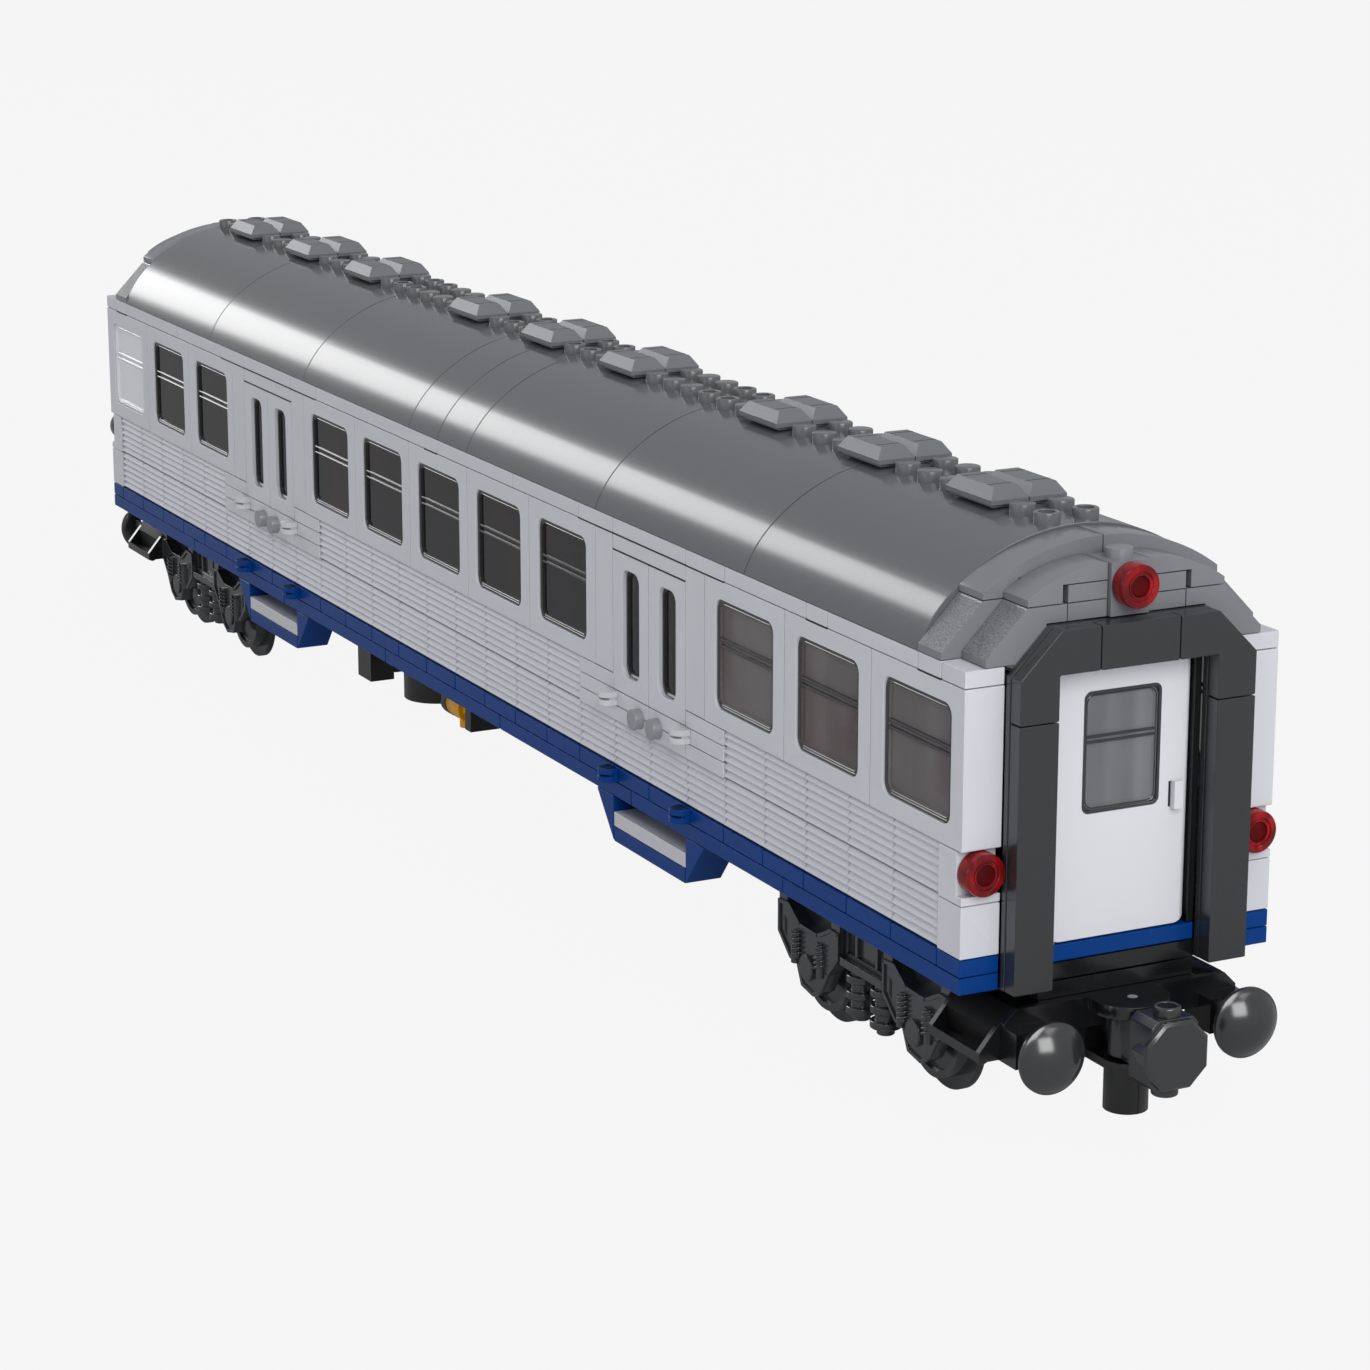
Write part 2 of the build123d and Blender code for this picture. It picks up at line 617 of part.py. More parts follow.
def arch_end(y_foot, y_top, z_top, x0, x1, hollow):
    """A curved end piece for y > 0 from its lip up to y_top, level there, with an open underside."""
    foot, top = y_foot - SEAM / 2, y_top + SEAM / 2
    low = level(SHOULDER) + SEAM / 2
    lip, crown = low + ARCH_LIP, z_top - SEAM / 2
    shelf = low + PLATE
    drop = crown - lip
    run = foot - top
    radius = (run * run + drop * drop) / (2 * drop)
    chord = run / 2
    middle = (top + chord, crown - radius + sqrt(radius * radius - chord * chord))
    step = y_foot - hollow
    edges = [
        ThreePointArc((x0, foot, lip), (x0, middle[0], middle[1]), (x0, top, crown)),
        Polyline((x0, top, crown), (x0, top, shelf), (x0, step, shelf), (x0, step, low)),
        Polyline((x0, step, low), (x0, foot, low), (x0, foot, lip)),
    ]
    face = make_face(edges)
    return Pos(SEAM / 2, 0, 0) * extrude(face, amount=x1 - x0 - SEAM, dir=(1, 0, 0))


ARCH_FOOT = 7.0         # solid foot of a curved end piece


def roof_end():
    """Slopes, curved pieces, filler plates and lamp block that close the roof at one end."""
    front0, front1 = HALF_L - STUD, HALF_L
    rear0, rear1 = front0 - STUD, front0
    front_foot = HALF_W - FRONT_SHIFT
    front_arch = front_foot - SLOPE_RUN
    rear_arch = HALF_W - SLOPE_RUN
    lamp_half = STUD / 2
    pieces = [
        slope_end(front_foot, front0, front1),
        slope_end(HALF_W, rear0, rear1),
        arch_end(front_arch, lamp_half, level(LAMP_TOP), front0, front1, ARCH_FOOT),
        arch_end(rear_arch, 0, level(CROWN) - ARCH_DROP, rear0, rear1, ARCH_FOOT),
    ]
    filler_out = lamp_half + STUD
    for course in (DOOR_TOP, SHOULDER):
        z0 = level(course)
        pieces.append(block(front0, front1, lamp_half, filler_out, z0, z0 + PLATE))
        pieces.append(block(rear0, rear1, lamp_half, filler_out, z0, z0 + PLATE))
    return both_sides(pieces)


def lamp_block():
    """The block that carries the top lamp, with a stud on it."""
    lamp_half, base = STUD / 2, level(DOOR_TOP)
    x0, x1 = HALF_L - STUD + TOP_LAMP_BLOCK_OUT + SEAM, HALF_L + TOP_LAMP_BLOCK_OUT + SEAM / 2
    top = base + BRICK - SEAM / 2
    solid = block(x0, x1, -lamp_half, lamp_half, base, base + BRICK)
    return [solid + upright((x0 + x1) / 2, 0, top, top + STUD_H, STUD_R)]


# Roof
ROOF_T = 2.0            # thickness of the roof shell
SHOULDER_Y = 26.0       # where the flat crown arc meets the rounder shoulder
SHOULDER_DROP = 10.3    # how far below the crown that is
ROOF_END_STUDS = 2      # roof ends, counted in studs
ROOF_STUDS = [8, 8, 8, 2, 2, 8, 8, 8]   # roof segments from the near end, counted in studs
VENT_STUDS = 2          # a ventilator's length
VENT_START_STUDS = [4, 9, 14, 22, 27, 32, 40, 45, 50]
SQUARE_STUDS = [6, 7, 48, 49]           # these studs are fully round: a two by two brick fits on each four
COLLAR_OUT = 0.5        # collar that levels a round stud's seat
VENT_RIM = 0.9          # upright rim of a ventilator's cap
VENT_H = 3.1            # height of the cap
VENT_BEVEL = 1.5        # width of its bevel
VENT_NECK_SET = 0.8     # the neck below it is this much smaller all round
VENT_GAP = 0.6          # cap above the roof's crown
STUD_YS = [STUD / 2, -STUD / 2]
VENT_L = VENT_STUDS * STUD - SEAM
VENT_W = STUD - SEAM

CROWN_R = (SHOULDER_Y * SHOULDER_Y + SHOULDER_DROP * SHOULDER_DROP) / (2 * SHOULDER_DROP)
SHOULDER_ANGLE = asin(SHOULDER_Y / CROWN_R)


def roof_z(y):
    """Height of the roof's crown arc at y."""
    return level(CROWN) - CROWN_R + sqrt(CROWN_R * CROWN_R - y * y)


def roof_half_outline(inset, x):
    """Crown and shoulder arcs of the roof section, both inset by the same amount."""
    sy, sz = SHOULDER_Y - inset * sin(SHOULDER_ANGLE), roof_z(SHOULDER_Y) - inset * cos(SHOULDER_ANGLE)
    foot = (x, HALF_W - SEAM / 2 - inset, level(WALL_TOP) + SEAM / 2)
    crown = ThreePointArc((x, -sy, sz), (x, 0, level(CROWN) - inset), (x, sy, sz))
    fall = (0, cos(SHOULDER_ANGLE), -sin(SHOULDER_ANGLE))
    right = TangentArc((x, sy, sz), foot, tangent=fall)
    mirrored_foot = (x, -foot[1], foot[2])
    left = TangentArc((x, -sy, sz), mirrored_foot, tangent=(0, -fall[1], fall[2]))
    return [left, crown, right], mirrored_foot, foot


def roof_solid(x0, x1, inset):
    edges, foot_l, foot_r = roof_half_outline(inset, x0)
    face = make_face(edges + [Line(foot_r, foot_l)])
    return extrude(face, amount=x1 - x0, dir=(1, 0, 0))


def vented(stud):
    return any(start <= stud < start + VENT_STUDS for start in VENT_START_STUDS)


def roof_stud(x, y, rounded):
    """A stud that rises from inside the roof's skin."""
    foot = roof_z(STUD_R + STUD / 2) - ROOF_T / 2
    if not rounded:
        return prism(x, y, foot, level(CROWN) + STUD_H, STUD_R)
    collar = upright(x, y, foot, level(CROWN) + SEAM, STUD_R + COLLAR_OUT)
    return collar + upright(x, y, foot, level(CROWN) + STUD_H, STUD_R)


def roof_panels():
    """Curved roof segments with two rows of studs; the ventilators stand where studs are left out."""
    solids = []
    for start, end in steps(ROOF_END_STUDS, ROOF_STUDS):
        x0, x1 = along(end) + SEAM / 2, along(start) - SEAM / 2
        core = roof_solid(x0 - OVERRUN, x1 + OVERRUN, ROOF_T)
        segment = roof_solid(x0, x1, 0) - core
        for stud in range(start, end):
            for y in [] if vented(stud) else STUD_YS:
                segment += roof_stud(along(stud) - STUD / 2, y, stud in SQUARE_STUDS)
        solids.append(segment)
    return solids


def vent_cap(x, y):
    """A bevelled cap on a lower neck."""
    z0 = level(CROWN) + VENT_GAP
    rim = Pos(x, y, z0 + VENT_RIM / 2) * Box(VENT_L, VENT_W, VENT_RIM)
    base = Pos(x, y, z0 + VENT_RIM) * Rectangle(VENT_L, VENT_W)
    top = Pos(x, y, z0 + VENT_H) * Rectangle(VENT_L - 2 * VENT_BEVEL, VENT_W - 2 * VENT_BEVEL)
    neck_l, neck_w, neck_z = VENT_L - 2 * VENT_NECK_SET, VENT_W - 2 * VENT_NECK_SET, level(CROWN)
    neck = Pos(x, y, (neck_z + z0) / 2) * Box(neck_l, neck_w, z0 - neck_z)
    return rim + loft([base.face(), top.face()], ruled=True) + neck


def roof_vents():
    solids = []
    for start in VENT_START_STUDS:
        x = along(start + VENT_STUDS / 2)
        solids += [vent_cap(x, y) for y in STUD_YS]
    return solids


# Seats, seen through the windows
SEAT_HALF_L = 7.8
SEAT_W = 15.6
SEAT_H = 12.8
SEAT_BACK_T = 3.0
SEAT_BASE_H = 4.8
SEAT_GAP = 0.3


def seats():
    """A seat at each window but the first, where the end door swings in, on both sides of the aisle."""
    solids = []
    z0 = level(RIB_LOW) + BRICK
    for start in bay_starts("window")[1:]:
        x = along(start + BAY_STUDS["window"] / 2)
        y0, y1 = WALL_IN + SEAT_GAP, WALL_IN + SEAT_GAP + SEAT_W
        low = level(RIB_LOW) + SEAM
        base = box(x - SEAT_HALF_L, x + SEAT_HALF_L, y0, y1, low, z0 + SEAT_BASE_H)
        back = box(x - SEAT_HALF_L, x - SEAT_HALF_L + SEAT_BACK_T, y0, y1, z0, z0 + SEAT_H)
        solids.append(base + back)
    return both_sides(solids)


# Underframe boxes between the bogies: places in studs from the near end, sizes in mm
TANK_BOX_STUDS = 37
TANK_BOX_L = 8.0
TANK_BOX_W = 6.0
TANK_BOX_H = 14.4
TANK_Y = -18.0
CYLINDER_STUDS = 33.5
CYLINDER_R = 7.8
CYLINDER_H = 12.8
VALVE_STUDS = 30.8
VALVE_Y = -16.0
VALVE_DROP = 9.6        # valve centre below the band
VALVE_R = 3.6
VALVE_BORE_R = 2.4
VALVE_L = 7.0
VALVE_LEG_R = 1.6
VALVE_NECK_R = 2.4
VALVE_GAP = 0.3


def underframe_boxes():
    z1 = BAND_Z - SEAM / 2
    tank_x = along(TANK_BOX_STUDS)
    z0 = BAND_Z - TANK_BOX_H
    x0, x1 = tank_x - TANK_BOX_L / 2, tank_x + TANK_BOX_L / 2
    y0, y1 = TANK_Y - TANK_BOX_W / 2, TANK_Y + TANK_BOX_W / 2
    tank = box(x0, x1, y0, y1, z0, z1)
    small = box(x0, x1, y1 + SEAM, y1 + SEAM + TANK_BOX_W, z0 + PLATE / 2, z1)
    drum = upright(along(CYLINDER_STUDS), TANK_Y + STUD / 2, BAND_Z - CYLINDER_H, z1, CYLINDER_R)
    return [tank, small, drum]


def valve():
    """A yellow tap body along the carriage with a short leg, hung from the floor."""
    x, z = along(VALVE_STUDS), BAND_Z - VALVE_DROP
    body = lengthwise(x - VALVE_L / 2, x + VALVE_L / 2, VALVE_Y, z, VALVE_R)
    body -= lengthwise(x - VALVE_L / 2 - OVERRUN, x, VALVE_Y, z, VALVE_BORE_R)
    body += upright(x, VALVE_Y, z - VALVE_R - VALVE_LEG_R, z, VALVE_LEG_R)
    body += lengthwise(x, x + VALVE_L, VALVE_Y, z, VALVE_NECK_R)
    return [body]


def valve_bracket():
    """Black hanger that carries the valve."""
    x, z = along(VALVE_STUDS), BAND_Z - VALVE_DROP
    end = x + VALVE_L + VALVE_GAP
    block_z0 = z - VALVE_R
    hanger = box(end, end + PLATE, VALVE_Y - VALVE_R, VALVE_Y + VALVE_R, block_z0, BAND_Z - SEAM / 2)
    start = x - VALVE_L / 2 - VALVE_GAP
    ring_y = VALVE_Y + SEAM
    ring = lengthwise(start - PLATE, start, ring_y, z, VALVE_R + SEAM)
    ring -= lengthwise(start - PLATE - OVERRUN, start + OVERRUN, ring_y, z, VALVE_BORE_R)
    strap_y0, strap_y1 = ring_y - VALVE_LEG_R, ring_y + VALVE_LEG_R
    strap = box(start - PLATE, start, strap_y0, strap_y1, z + VALVE_BORE_R, BAND_Z - SEAM / 2)
    return [hanger, ring + strap]


# Bogies, given for the near end
AXLE_Z = FLANGE_R
AXLE_SPREAD = 40.0      # wheelbase of one bogie
AXLE_XS = [PIVOT_X - AXLE_SPREAD / 2, PIVOT_X + AXLE_SPREAD / 2]
BOGIE_HALF_W = 16.0
BOGIE_PLATE_T = 2.9
BOGIE_TOP = BAND_Z - BOGIE_GAP
HOLDER_TOP = BOGIE_TOP - BOGIE_PLATE_T
HOLDER_DECK_T = 1.5     # deck of a wheel holder above the wheels
HOLDER_HALF_L = 11.8
SIDE_OUT = 24.0         # outer face of a side frame
SIDE_T = 2.6
DECK_HALF_W = 14.6
CROSSBAR_L = 3.2
CROSSBAR_H = 3.0
AXLE_R = 1.5
AXLE_END = 22.9         # half length of an axle
BOX_R = 2.45            # round axle-box cover
BOX_OUT = 0.8
# Side-frame outline about the axle, as shares of HOLDER_HALF_L and AXLE_DROP
SIDE_SHARES = [
    (-1.0, 0.62), (-0.63, 0.64), (-0.44, 0.55), (-0.27, 0.47), (0.30, 0.46), (0.73, 0.61), (1.0, 0.60),
    (1.0, 0.30),
    (0.68, 0.05), (0.45, -0.20), (0.20, -0.30), (-0.20, -0.25), (-0.36, -0.02), (-0.59, -0.01), (-1.0, 0.24),
]
SPRING_R = 1.0
SPRING_H = 6.0
SPRING_SHARES = (-0.42, 0.42)   # spring places along the side frame
SPRING_Z = 2.6                  # middle of a spring above the axle
TREAD_R = 8.9
FLANGE_IN = 16.0        # flange: |y| from here
FLANGE_OUT = 17.5
TREAD_OUT = 20.4
WHEEL_RIM = 1.3         # width of the raised rim on the wheel's face
WHEEL_DISH = 1.0        # depth of the dish inside it


def bogie_plate():
    """The bogie's deck, four studs wide, with the pin it turns on."""
    x0, x1 = AXLE_XS[0] - HOLDER_HALF_L, HALF_L
    plate = box(x0, x1 - SEAM / 2, -BOGIE_HALF_W, BOGIE_HALF_W, HOLDER_TOP, BOGIE_TOP)
    pin = upright(PIVOT_X, 0, BOGIE_TOP, level(BAND_HIGH) - SEAM, PIVOT_R)
    return [plate + pin]


def side_frame(x_axle):
    """One moulded side frame for y < 0, with its springs, axle-box cover and axle bore."""
    points = [(x_axle + a * HOLDER_HALF_L, AXLE_Z + b * AXLE_DROP) for a, b in SIDE_SHARES]
    frame = side_profile(points, -SIDE_OUT, -SIDE_OUT + SIDE_T)
    frame += crosswise(x_axle, -SIDE_OUT - BOX_OUT, -SIDE_OUT + SIDE_T, AXLE_Z, BOX_R)
    spring_z0, spring_z1 = AXLE_Z + SPRING_Z - SPRING_H / 2, AXLE_Z + SPRING_Z + SPRING_H / 2
    for share in SPRING_SHARES:
        frame += prism(x_axle + share * HOLDER_HALF_L, -SIDE_OUT, spring_z0, spring_z1, SPRING_R)
    return frame


def wheel_holder(x_axle):
    """Deck over one axle, two crossbars and a side frame on either side, in one moulding."""
    top = HOLDER_TOP - SEAM / 2
    half_l, half_w = HOLDER_HALF_L, DECK_HALF_W
    deck = box(x_axle - half_l, x_axle + half_l, -half_w, half_w, top - HOLDER_DECK_T, top)
    for sign in (-1, 1):
        x_out = x_axle + sign * HOLDER_HALF_L
        bar_x = x_out - sign * CROSSBAR_L
        x0, x1 = min(x_out, bar_x), max(x_out, bar_x)
        deck += box(x0, x1, -SIDE_OUT, SIDE_OUT, top - CROSSBAR_H, top)
        horn_low = AXLE_Z + AXLE_DROP / 2
        deck += box(x0, x1, -SIDE_OUT, -SIDE_OUT + SIDE_T, horn_low, top)
        deck += box(x0, x1, SIDE_OUT - SIDE_T, SIDE_OUT, horn_low, top)
    solid = deck + side_frame(x_axle) + mirrored([side_frame(x_axle)])[0]
    return solid - crosswise(x_axle, -AXLE_END - SEAM, AXLE_END + SEAM, AXLE_Z, AXLE_R + PIN_PLAY)


def wheelset(x_axle):
    """Two flanged wheels on one axle, turned about the axle's line."""
    rim_in = TREAD_R - WHEEL_RIM
    dish = TREAD_OUT - WHEEL_DISH
    points = [(0, 0), (0, AXLE_R), (FLANGE_IN, AXLE_R), (FLANGE_IN, FLANGE_R), (FLANGE_OUT, FLANGE_R)]
    points += [(FLANGE_OUT, TREAD_R), (TREAD_OUT, TREAD_R), (TREAD_OUT, rim_in), (dish, rim_in)]
    points += [(dish, AXLE_R), (AXLE_END, AXLE_R), (AXLE_END, 0)]
    face = make_face(Polyline(*[(0, y, r) for y, r in points], close=True))
    half = revolve(face, axis=Axis.Y)
    whole = half + mirror(half, about=Plane.XZ)
    return Pos(x_axle, 0, AXLE_Z) * whole


CENTRE_HALF_L = 7.8     # unit between the side frames
CENTRE_OUT = 23.0
CENTRE_T = 6.4
CENTRE_LOW = 11.0       # its underside below the band
LEDGE_T = 1.6
LEDGE_OUT = 1.2
TANK_R = 1.9            # two small upright cylinders with rings
TANK_RING_R = 3.0
TANK_RING_H = 1.2
TANK_LOW = 22.6         # their lower ends below the band
TANK_SPREAD = 9.0
TANK_RING_SHARES = (0.18, 0.5, 0.82)


def bogie_centre():
    """The dark unit between the wheel holders, with a ledge and two ringed cylinders on each side."""
    top = HOLDER_TOP - SEAM / 2
    low = BAND_Z - CENTRE_LOW
    x0, x1 = PIVOT_X - CENTRE_HALF_L, PIVOT_X + CENTRE_HALF_L
    panel = box(x0, x1, -CENTRE_OUT, -CENTRE_OUT + CENTRE_T, low, top)
    panel += box(x0, x1, -CENTRE_OUT - LEDGE_OUT, -CENTRE_OUT + CENTRE_T, low - LEDGE_T, low)
    foot, head = BAND_Z - TANK_LOW, low - LEDGE_T
    y = -CENTRE_OUT + TANK_RING_R - LEDGE_OUT
    for sign in (-1, 1):
        x = PIVOT_X + sign * TANK_SPREAD / 2
        panel += prism(x, y, foot, head, TANK_R)
        for share in TANK_RING_SHARES:
            z = foot + (head - foot) * share
            panel += prism(x, y, z - TANK_RING_H / 2, z + TANK_RING_H / 2, TANK_RING_R)
    return both_sides([panel])


# Buffer beam
BEAM_OUT = 2.0          # beam's front beyond the end
BEAM_L = 16.0           # beam's length along the carriage
BEAM_BAR_L = 8.0        # its full-width bar in front
BEAM_FRONT = HALF_L + BEAM_OUT
BEAM_BACK = BEAM_FRONT - BEAM_L
BEAM_TOP = HOLDER_TOP - SEAM / 2
BEAM_T = 5.6
BEAM_HALF_W = 24.0
BEAM_CHAMFER = 2.4
BUFFER_Y = 20.0
BUFFER_DROP = 9.5       # buffer centre below the band
BUFFER_Z = BAND_Z - BUFFER_DROP
SOCKET_HALF_W = 4.0
SOCKET_HALF_H = 3.2
SOCKET_OUT = 6.0        # socket face beyond the end
SHANK_R = 3.0
SHANK_OUT = 10.0
BUFFER_R = 6.5
BUFFER_RIM = 1.6
BUFFER_DOME = 3.0
BUFFER_EDGE_R = 0.8
DOME_STEPS = 4          # conical bands of a buffer's dome
COUPLER_OUT = 4.1
COUPLER_X = HALF_L + COUPLER_OUT        # coupler pivot
BOSS_R = 7.2
BOSS_T = 2.3
COLLAR_R = 4.6
COLLAR_T = 1.6
COLLAR_LOW = 16.2       # collar's underside below the band
POST_R = 4.0
POST_LOW = 24.2         # post's lower end below the band
COUPLER_PIN_R = 2.0
EYE_R = 3.4             # eye of the coupler round the pin
EYE_GAP = 0.3
WEB_HALF_W = 5.0
WEB_T = 4.0
TRAY_OUT = 28.2         # side steps on the beam
TRAY_BACK = 16.4        # length back from the end
TRAY_FRONT = 0.8
TRAY_BAR_W = 1.6
TRAY_BAR_H = 1.8
TRAY_DROP = 10.7        # bar's top below the band
TRAY_WALL = 1.2


def buffer_beam():
    """The beam with its buffer sockets, coupler boss, collar and post, and a hanging step each side."""
    low = BEAM_TOP - BEAM_T
    half = BEAM_HALF_W
    points = [
        (-half, low), (half, low), (half, BEAM_TOP - BEAM_CHAMFER), (half - BEAM_CHAMFER, BEAM_TOP),
        (-half + BEAM_CHAMFER, BEAM_TOP), (-half, BEAM_TOP - BEAM_CHAMFER),
    ]
    web_back = BEAM_FRONT - BEAM_BAR_L
    beam = end_profile(points, web_back, BEAM_FRONT)
    beam += box(BEAM_BACK, BEAM_FRONT, -BOGIE_HALF_W, BOGIE_HALF_W, low, BEAM_TOP)
    for sign in (-1, 1):
        y0, y1 = sign * BUFFER_Y - SOCKET_HALF_W, sign * BUFFER_Y + SOCKET_HALF_W
        z0, z1 = BUFFER_Z - SOCKET_HALF_H, BUFFER_Z + SOCKET_HALF_H
        beam += box(BEAM_FRONT - WEB_T, HALF_L + SOCKET_OUT, y0, y1, z0, z1)
    beam += upright(COUPLER_X, 0, BEAM_TOP - BOSS_T, BEAM_TOP, BOSS_R)
    collar_low = BAND_Z - COLLAR_LOW
    beam += box(web_back, BEAM_FRONT - WEB_T, -WEB_HALF_W, WEB_HALF_W, collar_low, BEAM_TOP)
    beam += box(web_back, COUPLER_X, -COLLAR_R, COLLAR_R, collar_low, collar_low + COLLAR_T)
    beam -= upright(COUPLER_X, 0, collar_low + COLLAR_T, BEAM_TOP - BOSS_T, EYE_R + EYE_GAP)
    beam += upright(COUPLER_X, 0, collar_low, collar_low + COLLAR_T, COLLAR_R)
    beam += upright(COUPLER_X, 0, BAND_Z - POST_LOW, collar_low, POST_R)
    beam += upright(COUPLER_X, 0, collar_low, BEAM_TOP - BOSS_T, COUPLER_PIN_R)
    return [beam]


def step_tray():
    """A side step for y < 0: an outer bar, a floor and two end cheeks that reach back to the beam."""
    bar_top = BAND_Z - TRAY_DROP
    bar_low = bar_top - TRAY_BAR_H
    x0, x1 = HALF_L - TRAY_BACK, HALF_L + TRAY_FRONT
    y_in = -BEAM_HALF_W
    tray = box(x0, x1, -TRAY_OUT, -TRAY_OUT + TRAY_BAR_W, bar_low, bar_top)
    tray += box(x0, x1, -TRAY_OUT, y_in, bar_low, bar_low + TRAY_WALL)
    cheek = [(-TRAY_OUT, bar_low), (-TRAY_OUT, bar_top), (y_in, BEAM_TOP - BEAM_CHAMFER), (y_in, bar_low)]
    tray += end_profile(cheek, x1 - TRAY_WALL, x1)
    tray += end_profile(cheek, x0, x0 + TRAY_WALL)
    return tray


def buffers():
    """Two round buffers: shank, plate-like head with rounded edge and a low dome."""
    x_face = HALF_L + SHANK_OUT
    x_base = HALF_L + SOCKET_OUT
    rim, dome = x_face + BUFFER_RIM, x_face + BUFFER_RIM + BUFFER_DOME
    top_r = BUFFER_R - BUFFER_EDGE_R
    sphere_r = (top_r * top_r + BUFFER_DOME * BUFFER_DOME) / (2 * BUFFER_DOME)
    centre = dome - sphere_r
    points = [(x_base, 0), (x_base, SHANK_R), (x_face, SHANK_R), (x_face, top_r)]
    points += [(x_face + BUFFER_EDGE_R, BUFFER_R), (rim, BUFFER_R)]
    for step in range(DOME_STEPS):
        r = top_r * (1 - step / DOME_STEPS)
        points.append((centre + sqrt(sphere_r * sphere_r - r * r), r))
    points.append((dome, 0))
    outline = Polyline(*[(x, 0, r) for x, r in points], close=True)
    head = revolve(make_face(outline), axis=Axis.X)
    return [Pos(0, sign * BUFFER_Y, BUFFER_Z) * head for sign in (-1, 1)]


# Coupler
MAGNET_BACK = 11.9      # housing, from the end's face
MAGNET_FRONT = 18.6
MAGNET_HALF_W = 4.8
MAGNET_HALF_H = 6.4
FACE_T = 1.4
FACE_HALF = 6.2
FACE_CUT = 3.4
COUPLER_DROP = 9.6      # coupler centre below the band
COUPLER_Z = BAND_Z - COUPLER_DROP
ARM_HALF_W = 2.6
COUPLER_STUD_X = 16.0


def coupler():
    """A swivelling arm with an eye on its pin, a stud above and below, and an eight-sided face."""
    eye_low = BAND_Z - COLLAR_LOW + COLLAR_T + EYE_GAP
    eye_top = BEAM_TOP - BOSS_T - EYE_GAP
    eye = upright(COUPLER_X, 0, eye_low, eye_top, EYE_R)
    x_back, x_front = HALF_L + MAGNET_BACK, HALF_L + MAGNET_FRONT
    arm = box(COUPLER_X, x_back, -ARM_HALF_W, ARM_HALF_W, eye_low, eye_top)
    z0, z1 = COUPLER_Z - MAGNET_HALF_H, COUPLER_Z + MAGNET_HALF_H
    housing = box(x_back, x_front, -MAGNET_HALF_W, MAGNET_HALF_W, z0, z1)
    flat, cut = FACE_HALF, FACE_HALF - FACE_CUT
    quarter = [(flat, cut), (cut, flat), (-cut, flat), (-flat, cut)]
    ring = quarter + [(-y, -z) for y, z in quarter]
    face = end_profile([(y, COUPLER_Z + z) for y, z in ring], x_front, x_front + FACE_T)
    solid = eye + arm + housing + face
    stud_x = HALF_L + COUPLER_STUD_X
    for sign in (-1, 1):
        z_face = COUPLER_Z + sign * MAGNET_HALF_H
        z_tip = z_face + sign * STUD_H
        solid += upright(stud_x, 0, min(z_face, z_tip), max(z_face, z_tip), STUD_R)
    return [solid - upright(COUPLER_X, 0, eye_low - OVERRUN, eye_top + OVERRUN, COUPLER_PIN_R + PIN_PLAY)]


# Body
for side, place in (("left", list), ("right", mirrored)):
    corners = corner_bricks_side(1) + corner_bricks_side(-1)
    save(f"band_{side}", place(band_side() + clips_side("blue")))
    save(f"ribbed_bricks_{side}", place(ribbed_side()))
    save(f"walls_{side}", place(smooth_plates_side() + wall_columns_side() + corners + top_tiles_side()))
    save(f"window_frames_{side}", place(window_frames_side()))
    save(f"window_glass_{side}", place(window_glass_side() + door_glass_side()))
    save(f"door_leaves_{side}", place(door_leaves_side()))
    save(f"door_steps_{side}", place(step_side()))
save("frosted_glass", both_sides(frosted_glass_side()))
save("door_clips", both_sides(clips_side("grey")))
save("door_knobs", both_sides(knobs_side()))
save("step_treads", both_sides(step_treads_side()))
save("floor", floor_plates() + floor_tiles())
save("seats", seats())
save("roof_panels", roof_panels())
save("roof_vents", roof_vents())
save("underframe_boxes", underframe_boxes() + valve_bracket())
save("valve", valve())
save("end_sills", end_sill() + turned(end_sill()))
save("end_lamps", end_lamps() + turned(end_lamps()))

# Ends and bogies
for end, place in (("near", list), ("far", turned)):
    save(f"gangway_{end}", place(gangway_back() + gangway_tiles()))
    save(f"door_frame_{end}", place(door_frame()))
    save(f"end_door_{end}", place(door_leaf()))
    save(f"end_door_glass_{end}", place(door_pane()))
    save(f"roof_end_{end}", place(roof_end() + lamp_block()))
    save(f"bogie_plate_{end}", place(bogie_plate()))
    save(f"wheel_holders_{end}", place([wheel_holder(x) for x in AXLE_XS]))
    save(f"bogie_centre_{end}", place(bogie_centre()))
    save(f"buffer_beam_{end}", place(buffer_beam() + both_sides([step_tray()])))
    save(f"buffers_{end}", place(buffers()))
    save(f"coupler_{end}", place(coupler()))
    save(f"wheelset_inner_{end}", place([wheelset(AXLE_XS[0])]))
    save(f"wheelset_outer_{end}", place([wheelset(AXLE_XS[1])]))
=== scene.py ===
import math

import bmesh
import bpy
from mathutils import Matrix, Vector


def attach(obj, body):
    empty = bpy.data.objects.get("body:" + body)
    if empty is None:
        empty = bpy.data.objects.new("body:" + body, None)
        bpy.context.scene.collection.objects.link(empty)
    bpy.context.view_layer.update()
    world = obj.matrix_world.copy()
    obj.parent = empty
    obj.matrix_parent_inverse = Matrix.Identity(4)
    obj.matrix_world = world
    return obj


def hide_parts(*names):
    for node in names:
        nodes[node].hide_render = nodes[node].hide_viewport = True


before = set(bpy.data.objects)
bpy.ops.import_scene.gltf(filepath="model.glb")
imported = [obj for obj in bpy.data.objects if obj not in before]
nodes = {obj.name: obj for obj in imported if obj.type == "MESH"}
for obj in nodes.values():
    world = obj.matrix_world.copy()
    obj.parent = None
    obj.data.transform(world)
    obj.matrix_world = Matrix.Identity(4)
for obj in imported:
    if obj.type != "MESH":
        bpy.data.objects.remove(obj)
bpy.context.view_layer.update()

MM = 0.001
ENDS = ("near", "far")
SIDES = (("left", -1), ("right", 1))
SIGNS = (-1, 1)

